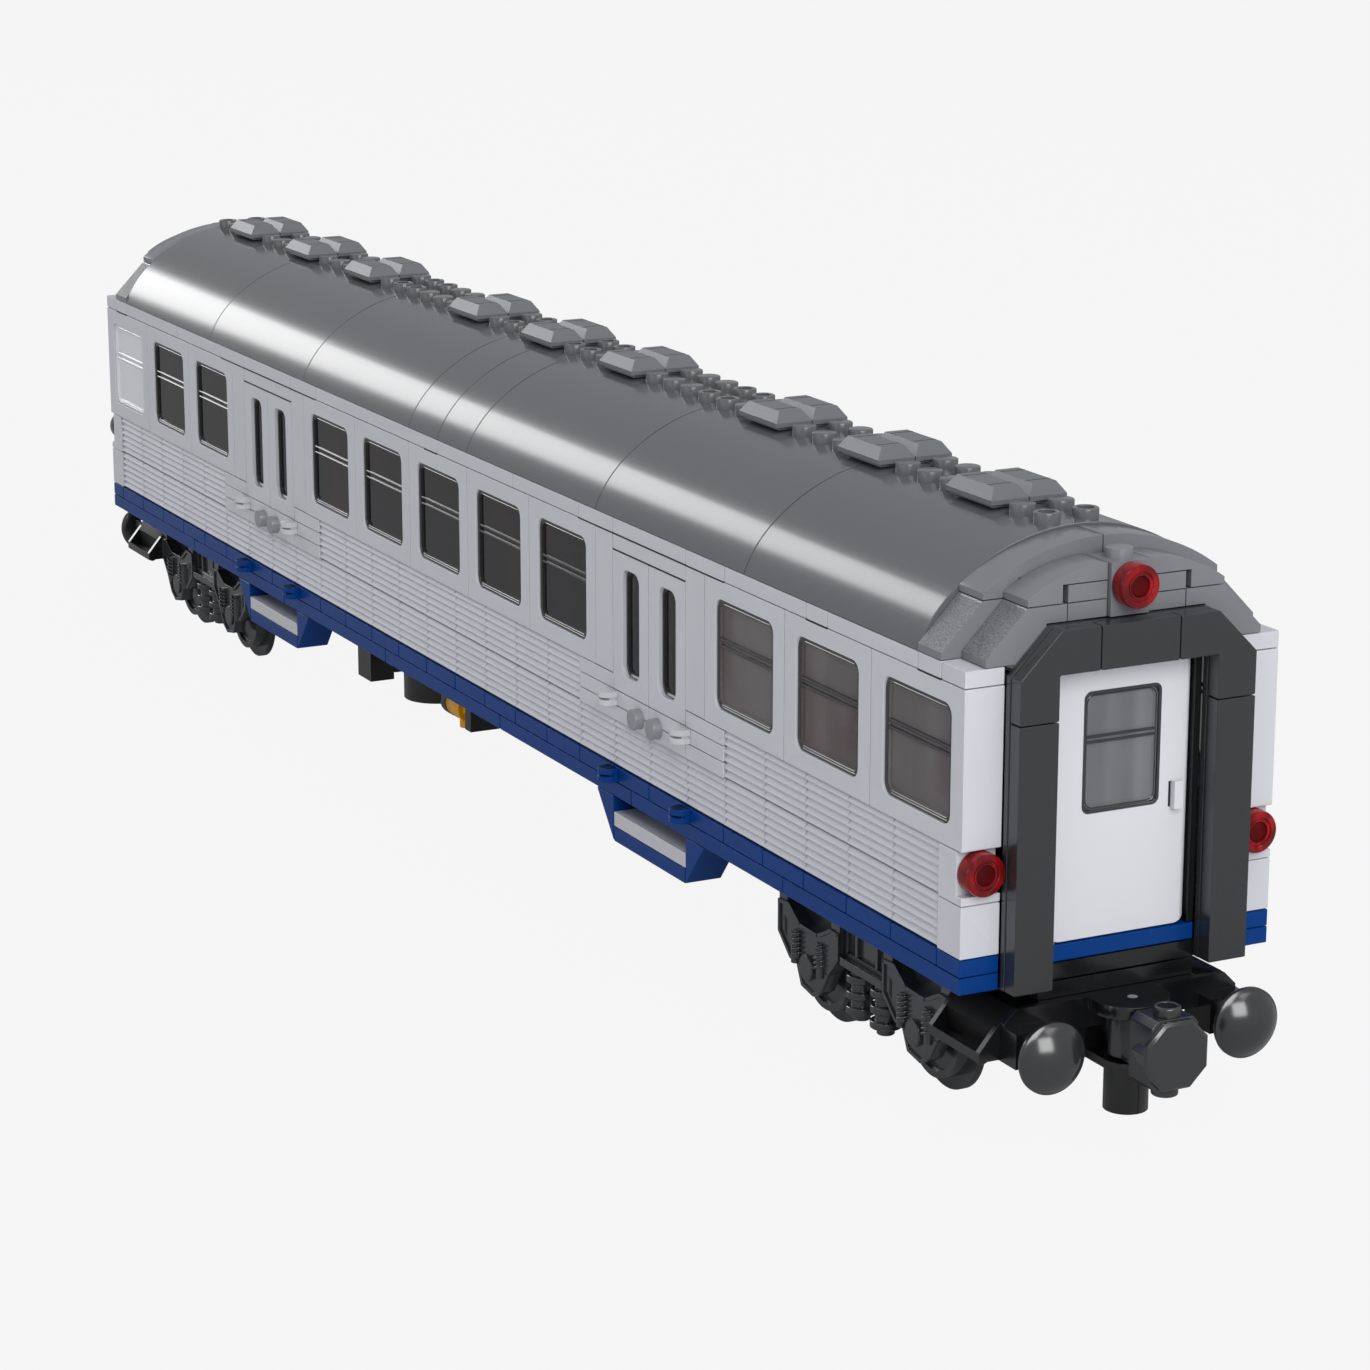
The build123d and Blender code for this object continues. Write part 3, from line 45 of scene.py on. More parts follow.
# Sizes of the solids that the pieces here have to meet, in millimetres
STUD, PLATE, SEAM = 8.0, 3.2, 0.2
STUD_R, STUD_H = 2.4, 1.7
HALF_L, HALF_W, BAND_Z = 224.0, 32.0, 28.3
FACE = HALF_W - SEAM / 2

# Places along the body, in studs from its near end
DOORS = (13, 39)
WINDOWS = (0, 4, 8, 18, 22, 26, 30, 34, 44, 48)
FROSTED = 52


def level(plates):
    """Height of a course, in plates above the foot of the blue band."""
    return BAND_Z + plates * PLATE


def along(studs):
    """Place along the body, in studs from its near end."""
    return HALF_L - studs * STUD


# Camera, solved from the photograph
PHOTO_PX = 1370.0
FOCAL_PX = 3822.0
SENSOR_MM = 36.0
CAMERA_PLACE = Vector((755.16, -353.52, 248.0)) * MM
CAMERA_AZIMUTH = 63.147
CAMERA_ELEVATION = 14.869
CLIP_NEAR, CLIP_FAR = 0.01, 50.0


def add_camera():
    """The photograph's own viewpoint: its direction back from the object, given as two angles."""
    azimuth, elevation = math.radians(CAMERA_AZIMUTH), math.radians(CAMERA_ELEVATION)
    back = Vector((
        math.sin(azimuth) * math.cos(elevation),
        -math.cos(azimuth) * math.cos(elevation),
        math.sin(elevation),
    ))
    right = (-back).cross(Vector((0, 0, 1))).normalized()
    up = right.cross(-back)
    turn = Matrix((right, up, back)).transposed()
    data = bpy.data.cameras.new("camera")
    data.sensor_width = SENSOR_MM
    data.sensor_fit = "HORIZONTAL"
    data.lens = FOCAL_PX / PHOTO_PX * SENSOR_MM
    data.clip_start = CLIP_NEAR
    data.clip_end = CLIP_FAR
    camera = bpy.data.objects.new("camera", data)
    camera.matrix_world = Matrix.Translation(CAMERA_PLACE) @ turn.to_4x4()
    bpy.context.scene.collection.objects.link(camera)
    bpy.context.scene.camera = camera


# Shader helpers

def srgb(code):
    """Linear colour of a hexadecimal screen colour."""
    parts = [int(code[i:i + 2], 16) / 255 for i in (0, 2, 4)]
    return tuple(c / 12.92 if c <= 0.04045 else ((c + 0.055) / 1.055) ** 2.4 for c in parts) + (1.0,)


def shade(colour, factor):
    """The colour made brighter or darker by a factor."""
    return tuple(min(1.0, c * factor) for c in colour[:3]) + (1.0,)


def new_material(name):
    material = bpy.data.materials.new(name)
    material.use_nodes = True
    tree = material.node_tree
    shader = tree.nodes["Principled BSDF"]
    return material, tree, shader


def noise(tree, scale, detail=2.0, stretch=(1, 1, 1)):
    """Noise over the object's own coordinates, in cycles per metre."""
    place = tree.nodes.new("ShaderNodeTexCoord")
    mapping = tree.nodes.new("ShaderNodeMapping")
    mapping.inputs["Scale"].default_value = stretch
    texture = tree.nodes.new("ShaderNodeTexNoise")
    texture.inputs["Scale"].default_value = scale
    texture.inputs["Detail"].default_value = detail
    tree.links.new(place.outputs["Object"], mapping.inputs["Vector"])
    tree.links.new(mapping.outputs["Vector"], texture.inputs["Vector"])
    return texture.outputs["Fac"]


def ranged(tree, value, low, high, from_low=0.3, from_high=0.7):
    """Maps a value to a new range; the old one is by default what noise mostly covers."""
    node = tree.nodes.new("ShaderNodeMapRange")
    node.inputs["From Min"].default_value = from_low
    node.inputs["From Max"].default_value = from_high
    node.inputs["To Min"].default_value = low
    node.inputs["To Max"].default_value = high
    tree.links.new(value, node.inputs["Value"])
    return node.outputs["Result"]


def blended(tree, factor, first, second):
    """A colour between two, each a constant or another node's output."""
    node = tree.nodes.new("ShaderNodeMix")
    node.data_type = "RGBA"
    for socket, value in ((6, first), (7, second)):
        if isinstance(value, tuple):
            node.inputs[socket].default_value = value
        else:
            tree.links.new(value, node.inputs[socket])
    tree.links.new(factor, node.inputs[0])
    return node.outputs[2]


def maths(tree, operation, first, second):
    """One operation on two values, each a number or another node's output."""
    node = tree.nodes.new("ShaderNodeMath")
    node.operation = operation
    for socket, value in ((0, first), (1, second)):
        if isinstance(value, float):
            node.inputs[socket].default_value = value
        else:
            tree.links.new(value, node.inputs[socket])
    return node.outputs[0]


def bumped(tree, shader, height, distance):
    """Gives a material a fine relief, its depth in millimetres."""
    node = tree.nodes.new("ShaderNodeBump")
    node.inputs["Distance"].default_value = distance * MM
    node.inputs["Strength"].default_value = 1.0
    tree.links.new(height, node.inputs["Height"])
    tree.links.new(node.outputs["Normal"], shader.inputs["Normal"])


# Materials

PLASTIC_IOR, CLEAR_IOR = 1.5, 1.49

# Scales of noise, in cycles per metre
FLOW_SCALE = 45.0       # slow flow left by the moulding
GRAIN_SCALE = 2600.0    # fine skin of a moulded surface
HAZE_SCALE = 14.0       # broad changes of gloss
SPARK_SCALE = 3000.0    # coarse skin of the sloping bricks
PATCH_SCALE = 70.0      # warm patches in a pane
REFLECTION_STRIPE_SCALE = 150.0    # painted upright stripes of reflected light in a pane
WAVE_SCALE = 120.0      # uneven surface of a pane
GLINT_SCALE = 520.0     # painted glints in a lamp
SHADE_SPOT_SCALE = 260.0     # painted dark spots of shade in a lamp
LENS_SCALE = 300.0      # uneven surface of a lamp

WIDE = (0.2, 0.8)       # range of noise values, for a soft blend


def plastic(name, code, rough=0.22, spread=0.012, grain=0.003, shift=0.012, piece=0.0, gloss=0.5):
    """Moulded plastic: slight colour flow, slowly changing gloss, a fine skin and pieces that differ."""
    material, tree, shader = new_material(name)
    colour = srgb(code)
    flow = ranged(tree, noise(tree, FLOW_SCALE, 3.0), 0.0, 1.0, *WIDE)
    tinted = blended(tree, flow, shade(colour, 1 - shift), shade(colour, 1 + shift))
    if piece:
        island = tree.nodes.new("ShaderNodeNewGeometry")
        lot = ranged(tree, island.outputs["Random Per Island"], 0.0, piece, 0.0, 1.0)
        tinted = blended(tree, lot, tinted, shade(colour, 0.0))
    tree.links.new(tinted, shader.inputs["Base Color"])
    haze = ranged(tree, noise(tree, HAZE_SCALE), rough - spread, rough + spread, *WIDE)
    tree.links.new(haze, shader.inputs["Roughness"])
    bumped(tree, shader, noise(tree, GRAIN_SCALE), grain)
    shader.inputs["IOR"].default_value = PLASTIC_IOR
    shader.inputs["Specular IOR Level"].default_value = gloss
    return material


SLOPE_TOP = level(21) - 0.35    # the sloping bricks of a roof end reach a little higher than this
SLANT = (0.4, 0.9)              # sideways part of the normal on a 45 degree face, at least and at most
UPWARD = 0.3                    # upward part of that normal, at least
SPARK_DEPTH, FINE_SHARE, SPARK_RANGE = 0.16, 0.03, (0.38, 0.62)
DARK_GRAIN, BRIGHT_GRAIN = 0.7, 1.35
DARK_FLOW, BRIGHT_FLOW = 0.97, 1.03
SMOOTH_ROUGH, SLOPE_ROUGH = 0.26, 0.45


def slope_mask(tree):
    """1 on the 45 degree faces of the sloping bricks, 0 elsewhere."""
    geometry = tree.nodes.new("ShaderNodeNewGeometry")
    normal = tree.nodes.new("ShaderNodeSeparateXYZ")
    tree.links.new(geometry.outputs["True Normal"], normal.inputs[0])
    place = tree.nodes.new("ShaderNodeTexCoord")
    spot = tree.nodes.new("ShaderNodeSeparateXYZ")
    tree.links.new(place.outputs["Object"], spot.inputs[0])
    side = maths(tree, "ABSOLUTE", normal.outputs["Y"], 0.0)
    least = maths(tree, "GREATER_THAN", side, SLANT[0])
    most = maths(tree, "LESS_THAN", side, SLANT[1])
    upward = maths(tree, "GREATER_THAN", normal.outputs["Z"], UPWARD)
    low = maths(tree, "LESS_THAN", spot.outputs["Z"], SLOPE_TOP * MM)
    sloping = maths(tree, "MULTIPLY", maths(tree, "MULTIPLY", least, most), upward)
    return maths(tree, "MULTIPLY", sloping, low)


def roof_end_plastic(name, code, grain_code):
    """Glossy plastic whose 45 degree slopes have the coarse spark-eroded skin of such bricks."""
    material, tree, shader = new_material(name)
    colour, grain = srgb(code), srgb(grain_code)
    mask = slope_mask(tree)
    spark = noise(tree, SPARK_SCALE, 1.0)
    speckle = ranged(tree, spark, 0.0, 1.0, *SPARK_RANGE)
    speckled = blended(tree, speckle, shade(grain, DARK_GRAIN), shade(grain, BRIGHT_GRAIN))
    flow = ranged(tree, noise(tree, FLOW_SCALE, 3.0), 0.0, 1.0)
    smooth = blended(tree, flow, shade(colour, DARK_FLOW), shade(colour, BRIGHT_FLOW))
    tree.links.new(blended(tree, mask, smooth, speckled), shader.inputs["Base Color"])
    rough = ranged(tree, mask, SMOOTH_ROUGH, SLOPE_ROUGH, 0.0, 1.0)
    tree.links.new(rough, shader.inputs["Roughness"])
    fine = maths(tree, "MULTIPLY", noise(tree, GRAIN_SCALE), FINE_SHARE)
    coarse = maths(tree, "MULTIPLY", spark, mask)
    bumped(tree, shader, maths(tree, "ADD", fine, coarse), SPARK_DEPTH)
    shader.inputs["IOR"].default_value = PLASTIC_IOR
    return material


# Clear panes: brightness of the flow lines, warm patches, painted stripes of reflected light, haze and uneven
# surface
CLEAR_DARK, CLEAR_BRIGHT, CLEAR_FACING = 0.92, 1.08, 0.35
PATCH_STRETCH, PATCH_SHARE, PATCH_RANGE = (1, 1, 0.6), 0.7, (0.5, 0.66)
REFLECTION_STRETCH, REFLECTION_BRIGHTNESS, REFLECTION_RANGE = (1, 1, 0.02), 1.8, (0.4, 0.65)
CLEAR_HAZE_LOW, CLEAR_HAZE_HIGH = 0.6, 1.6
WAVE_STRETCH, WAVE_DEPTH = (1, 1, 0.35), 0.02


def clear_plastic(name, code, alpha, rough=0.05, edge=0.0, warm=None, reflection_streak=0.0):
    """Clear tinted moulding, faint flow lines, painted stripes of reflected light; denser where seen edge on.
    """
    material, tree, shader = new_material(name)
    colour = srgb(code)
    flow = ranged(tree, noise(tree, FLOW_SCALE, 3.0), 0.0, 1.0)
    tinted = blended(tree, flow, shade(colour, CLEAR_DARK), shade(colour, CLEAR_BRIGHT))
    if warm:
        patches = noise(tree, PATCH_SCALE, 1.0, PATCH_STRETCH)
        patch = ranged(tree, patches, 0.0, PATCH_SHARE, *PATCH_RANGE)
        tinted = blended(tree, patch, tinted, srgb(warm))
    # painted reflection: upright stripes brighter than the pane
    if reflection_streak:
        reflection_noise = noise(tree, REFLECTION_STRIPE_SCALE, 1.0, REFLECTION_STRETCH)
        reflection_stripe = ranged(tree, reflection_noise, 0.0, reflection_streak, *REFLECTION_RANGE)
        tinted = blended(tree, reflection_stripe, tinted, shade(colour, REFLECTION_BRIGHTNESS))
    tree.links.new(tinted, shader.inputs["Base Color"])
    haze = ranged(tree, noise(tree, HAZE_SCALE), rough * CLEAR_HAZE_LOW, rough * CLEAR_HAZE_HIGH)
    tree.links.new(haze, shader.inputs["Roughness"])
    bumped(tree, shader, noise(tree, WAVE_SCALE, 1.0, WAVE_STRETCH), WAVE_DEPTH)
    shader.inputs["IOR"].default_value = CLEAR_IOR
    facing = tree.nodes.new("ShaderNodeLayerWeight")
    facing.inputs["Blend"].default_value = CLEAR_FACING
    dense = ranged(tree, facing.outputs["Facing"], alpha, min(1.0, alpha + edge), 0.0, 1.0)
    tree.links.new(dense, shader.inputs["Alpha"])
    return material


# Lamps: painted highlight towards the rim, painted glints, painted spots of shade, haze and uneven surface
LAMP_FACING = 0.4
GLINT_STRETCH, GLINT_SHARE, GLINT_RANGE = (1, 1, 0.4), 0.75, (0.5, 0.72)
SHADE_SPOT_SHARE, SHADE_SPOT_RANGE, SHADE_SPOT_DARKNESS = 0.6, (0.4, 0.7), 0.4
LAMP_HAZE_LOW, LAMP_HAZE_HIGH, LENS_DEPTH = 0.7, 1.3, 0.01


def lamp_plastic(name, code, rim_highlight_code, depth, rough=0.07, gloss=0.45):
    """Red clear plastic with painted light: a painted highlight towards its rim, painted glints and painted
    spots of shade.
    """
    material, tree, shader = new_material(name)
    colour, bright = srgb(code), srgb(rim_highlight_code)
    # painted highlight: the colour turns brighter towards the rim
    facing = tree.nodes.new("ShaderNodeLayerWeight")
    facing.inputs["Blend"].default_value = LAMP_FACING
    rim_lit = blended(tree, facing.outputs["Facing"], colour, bright)
    # painted glints: bright spots in the rim's colour
    glint_noise = noise(tree, GLINT_SCALE, 1.0, GLINT_STRETCH)
    glinted = blended(tree, ranged(tree, glint_noise, 0.0, GLINT_SHARE, *GLINT_RANGE), rim_lit, bright)
    # painted shade: dark spots
    shade_spots = ranged(tree, noise(tree, SHADE_SPOT_SCALE), 0.0, SHADE_SPOT_SHARE, *SHADE_SPOT_RANGE)
    spot_shaded = blended(tree, shade_spots, glinted, shade(colour, SHADE_SPOT_DARKNESS))
    tree.links.new(spot_shaded, shader.inputs["Base Color"])
    shader.inputs["Transmission Weight"].default_value = depth
    shader.inputs["Specular IOR Level"].default_value = gloss
    haze = ranged(tree, noise(tree, HAZE_SCALE), rough * LAMP_HAZE_LOW, rough * LAMP_HAZE_HIGH)
    tree.links.new(haze, shader.inputs["Roughness"])
    bumped(tree, shader, noise(tree, LENS_SCALE, 1.0), LENS_DEPTH)
    shader.inputs["IOR"].default_value = CLEAR_IOR
    return material


WALL = plastic("wall_grey", "cccdd3", rough=0.36, piece=0.03, gloss=0.32)
RIBBED = plastic("rib_grey", "cbccd2", rough=0.5, piece=0.03, gloss=0.12)
DOOR = plastic("door_white", "d4d5da", rough=0.3, gloss=0.4)
BLUE = plastic("band_blue", "043a80", rough=0.28, piece=0.08, gloss=0.14)
ROOF = plastic("roof_grey", "626365", rough=0.17, grain=0.001)
ROOF_END = roof_end_plastic("roof_end_grey", "7a7c80", "727376")
VENT = plastic("vent_grey", "6d6f72", rough=0.38, gloss=0.3)
FRAME = plastic("frame_grey", "2a2c2e", rough=0.26, gloss=0.8)
BLACK = plastic("black", "101113", rough=0.2, gloss=0.8)
# black plastic lightened to grey, partly painted sheen of reflections on its glossy faces
DARK_SHEEN = plastic("buffer_black_sheen", "28292b", rough=0.2, gloss=1.0)
BOGIE_SHEEN = plastic("bogie_black_sheen", "303235", rough=0.2, gloss=1.0)
LIGHT = plastic("light_grey", "c6c7cb", rough=0.25)
MID = plastic("mid_grey", "8e8f94", rough=0.25)
BROWN = plastic("brown", "5a2a20", rough=0.3)
YELLOW = plastic("yellow", "f0ae00", rough=0.22)
FROST = plastic("frosted", "dfe1e5", rough=0.16)
SMOKE = clear_plastic("smoky_clear", "6d6969", 0.62, edge=0.2, warm="5a4746", reflection_streak=0.3)
# a darker copy of the smoky clear: painted shade in the carriage seen through it
SMOKE_SHADED = clear_plastic("smoky_shaded", "151518", 0.84, edge=0.14, warm="281614", reflection_streak=0.15)
# a paler grey, partly painted reflection, with stronger painted stripes of reflected light
DOOR_SMOKE = clear_plastic("smoky_door", "747577", 0.78, rough=0.1, edge=0.15, reflection_streak=0.55)
RIM = plastic("smoky_rim", "2f2e31", rough=0.1, gloss=0.9)
# second colour of each lamp material: painted highlight towards its rim
RED = lamp_plastic("red_clear", "5e060a", "b2121a", 0.1)
# painted shade: the dark disc in a lamp's hollow middle
RED_CORE_SHADE = lamp_plastic("red_core_shade", "4e080a", "640c10", 0.0, rough=0.45, gloss=0.1)
# painted shade: the darker red of the far end's low lamps
RED_IN_SHADE = lamp_plastic("red_in_shade", "1c0406", "300608", 0.1)
# black for the shade in gaps, grooves and slots: painted shade
GAP_SHADE = plastic("gap_shade_black", "050506", rough=0.5)
RECESS = plastic("recess_black", "0b0b0d", rough=0.5, gloss=0.15)

SIDE_MATERIALS = {
    "band": BLUE, "ribbed_bricks": RIBBED, "walls": WALL, "window_frames": WALL, "window_glass": SMOKE,
    "door_leaves": WALL, "door_steps": BLUE,
}
END_MATERIALS = {
    "gangway": FRAME, "door_frame": BLACK, "roof_end": ROOF_END, "end_door": DOOR,
    "end_door_glass": DOOR_SMOKE, "bogie_plate": BLACK, "wheel_holders": BOGIE_SHEEN, "bogie_centre": BOGIE_SHEEN,
    "buffer_beam": BLACK, "buffers": DARK_SHEEN, "coupler": DARK_SHEEN, "wheelset_inner": BOGIE_SHEEN, "wheelset_outer": BOGIE_SHEEN,
}
materials = {
    "end_sills": BLUE, "frosted_glass": FROST, "door_clips": LIGHT, "door_knobs": MID, "step_treads": LIGHT,
    "floor": BLACK, "seats": BROWN, "roof_panels": ROOF, "roof_vents": VENT, "underframe_boxes": BLACK,
    "valve": YELLOW, "end_lamps": RED,
}
materials.update({f"{name}_{side}": m for name, m in SIDE_MATERIALS.items() for side, _ in SIDES})
materials.update({f"{name}_{end}": m for name, m in END_MATERIALS.items() for end in ENDS})


def dress(node, material):
    """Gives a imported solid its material."""
    obj = nodes[node]
    if not obj.material_slots:
        obj.data.materials.append(material)
    for shade_strip in obj.material_slots:
        shade_strip.link = "OBJECT"
        shade_strip.material = material


EDGE, WELD = 0.2 * MM, 0.002 * MM       # rounding of a moulded edge, and how near joined points lie


def soften(obj, width=EDGE, angle=35.0, weld=True):
    """Rounds the sharp edges of a piece."""
    if weld:
        join = obj.modifiers.new("weld", "WELD")
        join.merge_threshold = WELD
    bevel = obj.modifiers.new("bevel", "BEVEL")
    bevel.width = width
    bevel.segments = 2
    bevel.limit_method = "ANGLE"
    bevel.angle_limit = math.radians(angle)
    bevel.harden_normals = True


# Pieces built here, in millimetres

AXES = {"X": lambda a, u, v: (a, u, v), "Y": lambda a, u, v: (u, a, v), "Z": lambda a, u, v: (u, v, a)}


class Form:
    """One mesh, put together from closed parts given in millimetres."""

    def __init__(self):
        self.mesh = bmesh.new()

    def loft(self, rings, closed=False):
        """Skins rings of as many points each; the first and last are capped, or joined if closed."""
        rows = [[self.mesh.verts.new(p) for p in ring] for ring in rings]
        count = len(rows[0])
        pairs = list(zip(rows, rows[1:])) + ([(rows[-1], rows[0])] if closed else [])
        for one, two in pairs:
            for i in range(count):
                j = (i + 1) % count
                self.mesh.faces.new((one[i], one[j], two[j], two[i]))
        if not closed:
            self.mesh.faces.new(rows[0])
            self.mesh.faces.new(rows[-1])

    def outline(self, axis, levels):
        """Lofts flat outlines: each level is a place along the axis and its (u, v) points."""
        put = AXES[axis]
        self.loft([[put(a, u, v) for u, v in points] for a, points in levels])

    def prism(self, axis, a0, a1, points):
        self.outline(axis, [(a0, points), (a1, points)])

    def box(self, x0, x1, y0, y1, z0, z1):
        self.prism("Z", z0, z1, [(x0, y0), (x1, y0), (x1, y1), (x0, y1)])

    def lathe(self, axis, u, v, profile, steps=48):
        """Turns a profile of (place, radius) points about a line along the axis."""
        around = [2 * math.pi * i / steps for i in range(steps)]
        circle = [(math.cos(t), math.sin(t)) for t in around]
        self.outline(axis, [(a, [(u + r * c, v + r * s) for c, s in circle]) for a, r in profile])

    def build(self, name, material, body, turned=False, smooth=32.0, edge=0.0, hides=()):
        """Makes the object; turned swings it to the far end, hides names the solids it stands for."""
        bmesh.ops.recalc_face_normals(self.mesh, faces=self.mesh.faces)
        sign = -1.0 if turned else 1.0
        for vert in self.mesh.verts:
            vert.co = Vector((sign * vert.co.x, sign * vert.co.y, vert.co.z)) * MM
        mesh = bpy.data.meshes.new(name)
        self.mesh.to_mesh(mesh)
        self.mesh.free()
        mesh.materials.append(material)
        mesh.shade_smooth()
        mesh.set_sharp_from_angle(angle=math.radians(smooth))
        obj = bpy.data.objects.new(name, mesh)
        bpy.context.scene.collection.objects.link(obj)
        if edge:
            soften(obj, edge * MM, weld=False, angle=40.0)
        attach(obj, body)
        if hides:
            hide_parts(*hides)
        return obj


def arc(u, v, radius, first, last, steps):
    """Points along an arc about (u, v), between two angles in degrees."""
    turn = [math.radians(first + (last - first) * i / steps) for i in range(steps + 1)]
    return [(u + radius * math.cos(t), v + radius * math.sin(t)) for t in turn]


def rectangle(x, y, length, width):
    """Corners of a rectangle about a point."""
    return [(x + u * length / 2, y + v * width / 2) for u, v in ((-1, -1), (1, -1), (1, 1), (-1, 1))]


def rounded(width, height, radius, steps=6):
    """Points of a rounded rectangle about the origin."""
    points = []
    for cx, cy, start in ((1, 1, 0), (-1, 1, 90), (-1, -1, 180), (1, -1, 270)):
        middle = cx * (width / 2 - radius), cy * (height / 2 - radius)
        points += arc(*middle, radius, start, start + 90, steps)
    return points


# Roof

CROWN_R, CROWN_Z, CROWN_STEPS = 37.97, level(24), 32
SHOULDER_Y, FOOT_Z, SHOULDER_STEPS = 26.0, level(18) + SEAM / 2, 24
ROOF_START, ROOF_RUNS = 2, (8, 8, 8, 2, 2, 8, 8, 8)
SHELL, SEGMENT_EDGE = 2.0, 0.14
GROOVE_W, GROOVE_INSET, GROOVE_DEPTH = 0.38, 0.04, 1.0
STUD_ROWS = (-STUD / 2, STUD / 2)
STUD_ROOT, STUD_LIP, STUD_EDGE = 1.2, 0.22, 0.07
BORE_R, BORE_EDGE, BORE_FLOOR = 1.55, 0.12, 0.2


def stud_profile(z0, z1, hollow):
    """Side of a stud with a rounded rim, and the bore of an open one."""
    profile = [
        (z0, STUD_R), (z1 - STUD_LIP, STUD_R), (z1 - STUD_EDGE, STUD_R - STUD_EDGE), (z1, STUD_R - STUD_LIP),
    ]
    if hollow:
        profile += [(z1, BORE_R + BORE_EDGE), (z1 - BORE_EDGE, BORE_R), (z1 - STUD_H + BORE_FLOOR, BORE_R)]
    return profile


def roof_section(inset):
    """Points of the roof's cross section, from foot to foot: two arcs on each side of the crown."""
    centre = CROWN_Z - CROWN_R
    turn = math.asin(SHOULDER_Y / CROWN_R)
    px, pz = SHOULDER_Y, centre + CROWN_R * math.cos(turn)
    dx, dz = FACE - px, FOOT_Z - pz
    radius = (dx * dx + dz * dz) / (-2 * (dx * math.sin(turn) + dz * math.cos(turn)))
    cx, cz = px - radius * math.sin(turn), pz - radius * math.cos(turn)
    foot = math.atan2(FACE - cx, FOOT_Z - cz)
    half = []
    for i in range(1, CROWN_STEPS + 1):
        t = turn * i / CROWN_STEPS
        half.append(((CROWN_R - inset) * math.sin(t), centre + (CROWN_R - inset) * math.cos(t)))
    for i in range(1, SHOULDER_STEPS + 1):
        t = turn + (foot - turn) * i / SHOULDER_STEPS
        half.append((cx + (radius - inset) * math.sin(t), cz + (radius - inset) * math.cos(t)))
    half[-1] = (FACE - inset, FOOT_Z)
    return [(-y, z) for y, z in reversed(half)] + [(0.0, CROWN_Z - inset)] + half


def roof_runs():
    """First and last stud of each curved segment, from the near end."""
    runs, start = [], ROOF_START
    for studs in ROOF_RUNS:
        runs.append((start, start + studs))
        start += studs
    return runs


def roof_loft(form, places):
    """Skins cross sections at places along the roof, from foot to foot."""
    count = len(places[0][1])
    form.loft([[(x, *points[i]) for x, points in places] for i in range(count)])


def roof():
    """Curved segments and their studs; the studs at both ends of a segment are open."""
    form = Form()
    outer, edge, inner = roof_section(0.0), roof_section(SEGMENT_EDGE), roof_section(SHELL)
    for first, last in roof_runs():
        x0, x1 = along(last) + SEAM / 2, along(first) - SEAM / 2
        top = [(x0, edge), (x0 + SEGMENT_EDGE, outer), (x1 - SEGMENT_EDGE, outer), (x1, edge)]
        roof_loft(form, top + [(x1, inner), (x0, inner)])
        for stud in range(first, last):
            if any(start <= stud < start + VENT_STUDS for start in VENT_STARTS):
                continue
            profile = stud_profile(CROWN_Z - STUD_ROOT, CROWN_Z + STUD_H, stud in (first, last - 1))
            for y in STUD_ROWS:
                form.lathe("Z", along(stud) - STUD / 2, y, profile, steps=36)
    form.build("roof_curved", ROOF, "body", smooth=38.0, hides=("roof_panels",))


def roof_grooves():
    """Dark lines of painted shade in the seams between the curved segments."""
    form = Form()
    top, low = roof_section(GROOVE_INSET), roof_section(GROOVE_DEPTH)
    for _, last in roof_runs()[:-1]:
        x0, x1 = along(last) - GROOVE_W / 2, along(last) + GROOVE_W / 2
        roof_loft(form, [(x0, top), (x1, top), (x1, low), (x0, low)])
    form.build("roof_seams", GAP_SHADE, "body")


VENT_STUDS, VENT_STARTS = 2, (4, 9, 14, 22, 27, 32, 40, 45, 50)
VENT_L, VENT_W, VENT_H, VENT_LIFT = 15.8, 7.8, 3.1, 0.6
VENT_RIM, VENT_BEVEL, VENT_NECK = 0.9, 1.5, 0.8
VENT_SINK = 0.03        # keeps the cap below the fine lines on it
LINE_X, LINE_W, LINE_DEPTH, LINE_SINK = 4.3, 0.32, 0.3, 0.01


def vents():
    """Bevelled caps with two fine dark lines of painted shade across their tops, on a narrower neck."""
    caps, lines = Form(), Form()
    foot, top = CROWN_Z + VENT_LIFT, CROWN_Z + VENT_LIFT + VENT_H
    for start in VENT_STARTS:
        for y in STUD_ROWS:
            x = along(start + VENT_STUDS / 2)
            neck = rectangle(x, y, VENT_L - 2 * VENT_NECK, VENT_W - 2 * VENT_NECK)
            brim = rectangle(x, y, VENT_L, VENT_W)
            flat = rectangle(x, y, VENT_L - 2 * VENT_BEVEL, VENT_W - 2 * VENT_BEVEL)
            levels = [(CROWN_Z, neck), (foot, neck), (foot, brim), (foot + VENT_RIM, brim)]
            caps.outline("Z", levels + [(top - VENT_SINK, flat)])
            for shift in (-LINE_X, LINE_X):
                line = rectangle(x + shift, y, LINE_W, VENT_W - 2 * VENT_BEVEL)
                lines.prism("Z", top - LINE_DEPTH, top - LINE_SINK, line)
    caps.build("roof_caps", VENT, "body", smooth=20.0, edge=0.1, hides=("roof_vents",))
    lines.build("cap_lines", GAP_SHADE, "body")


# Windows

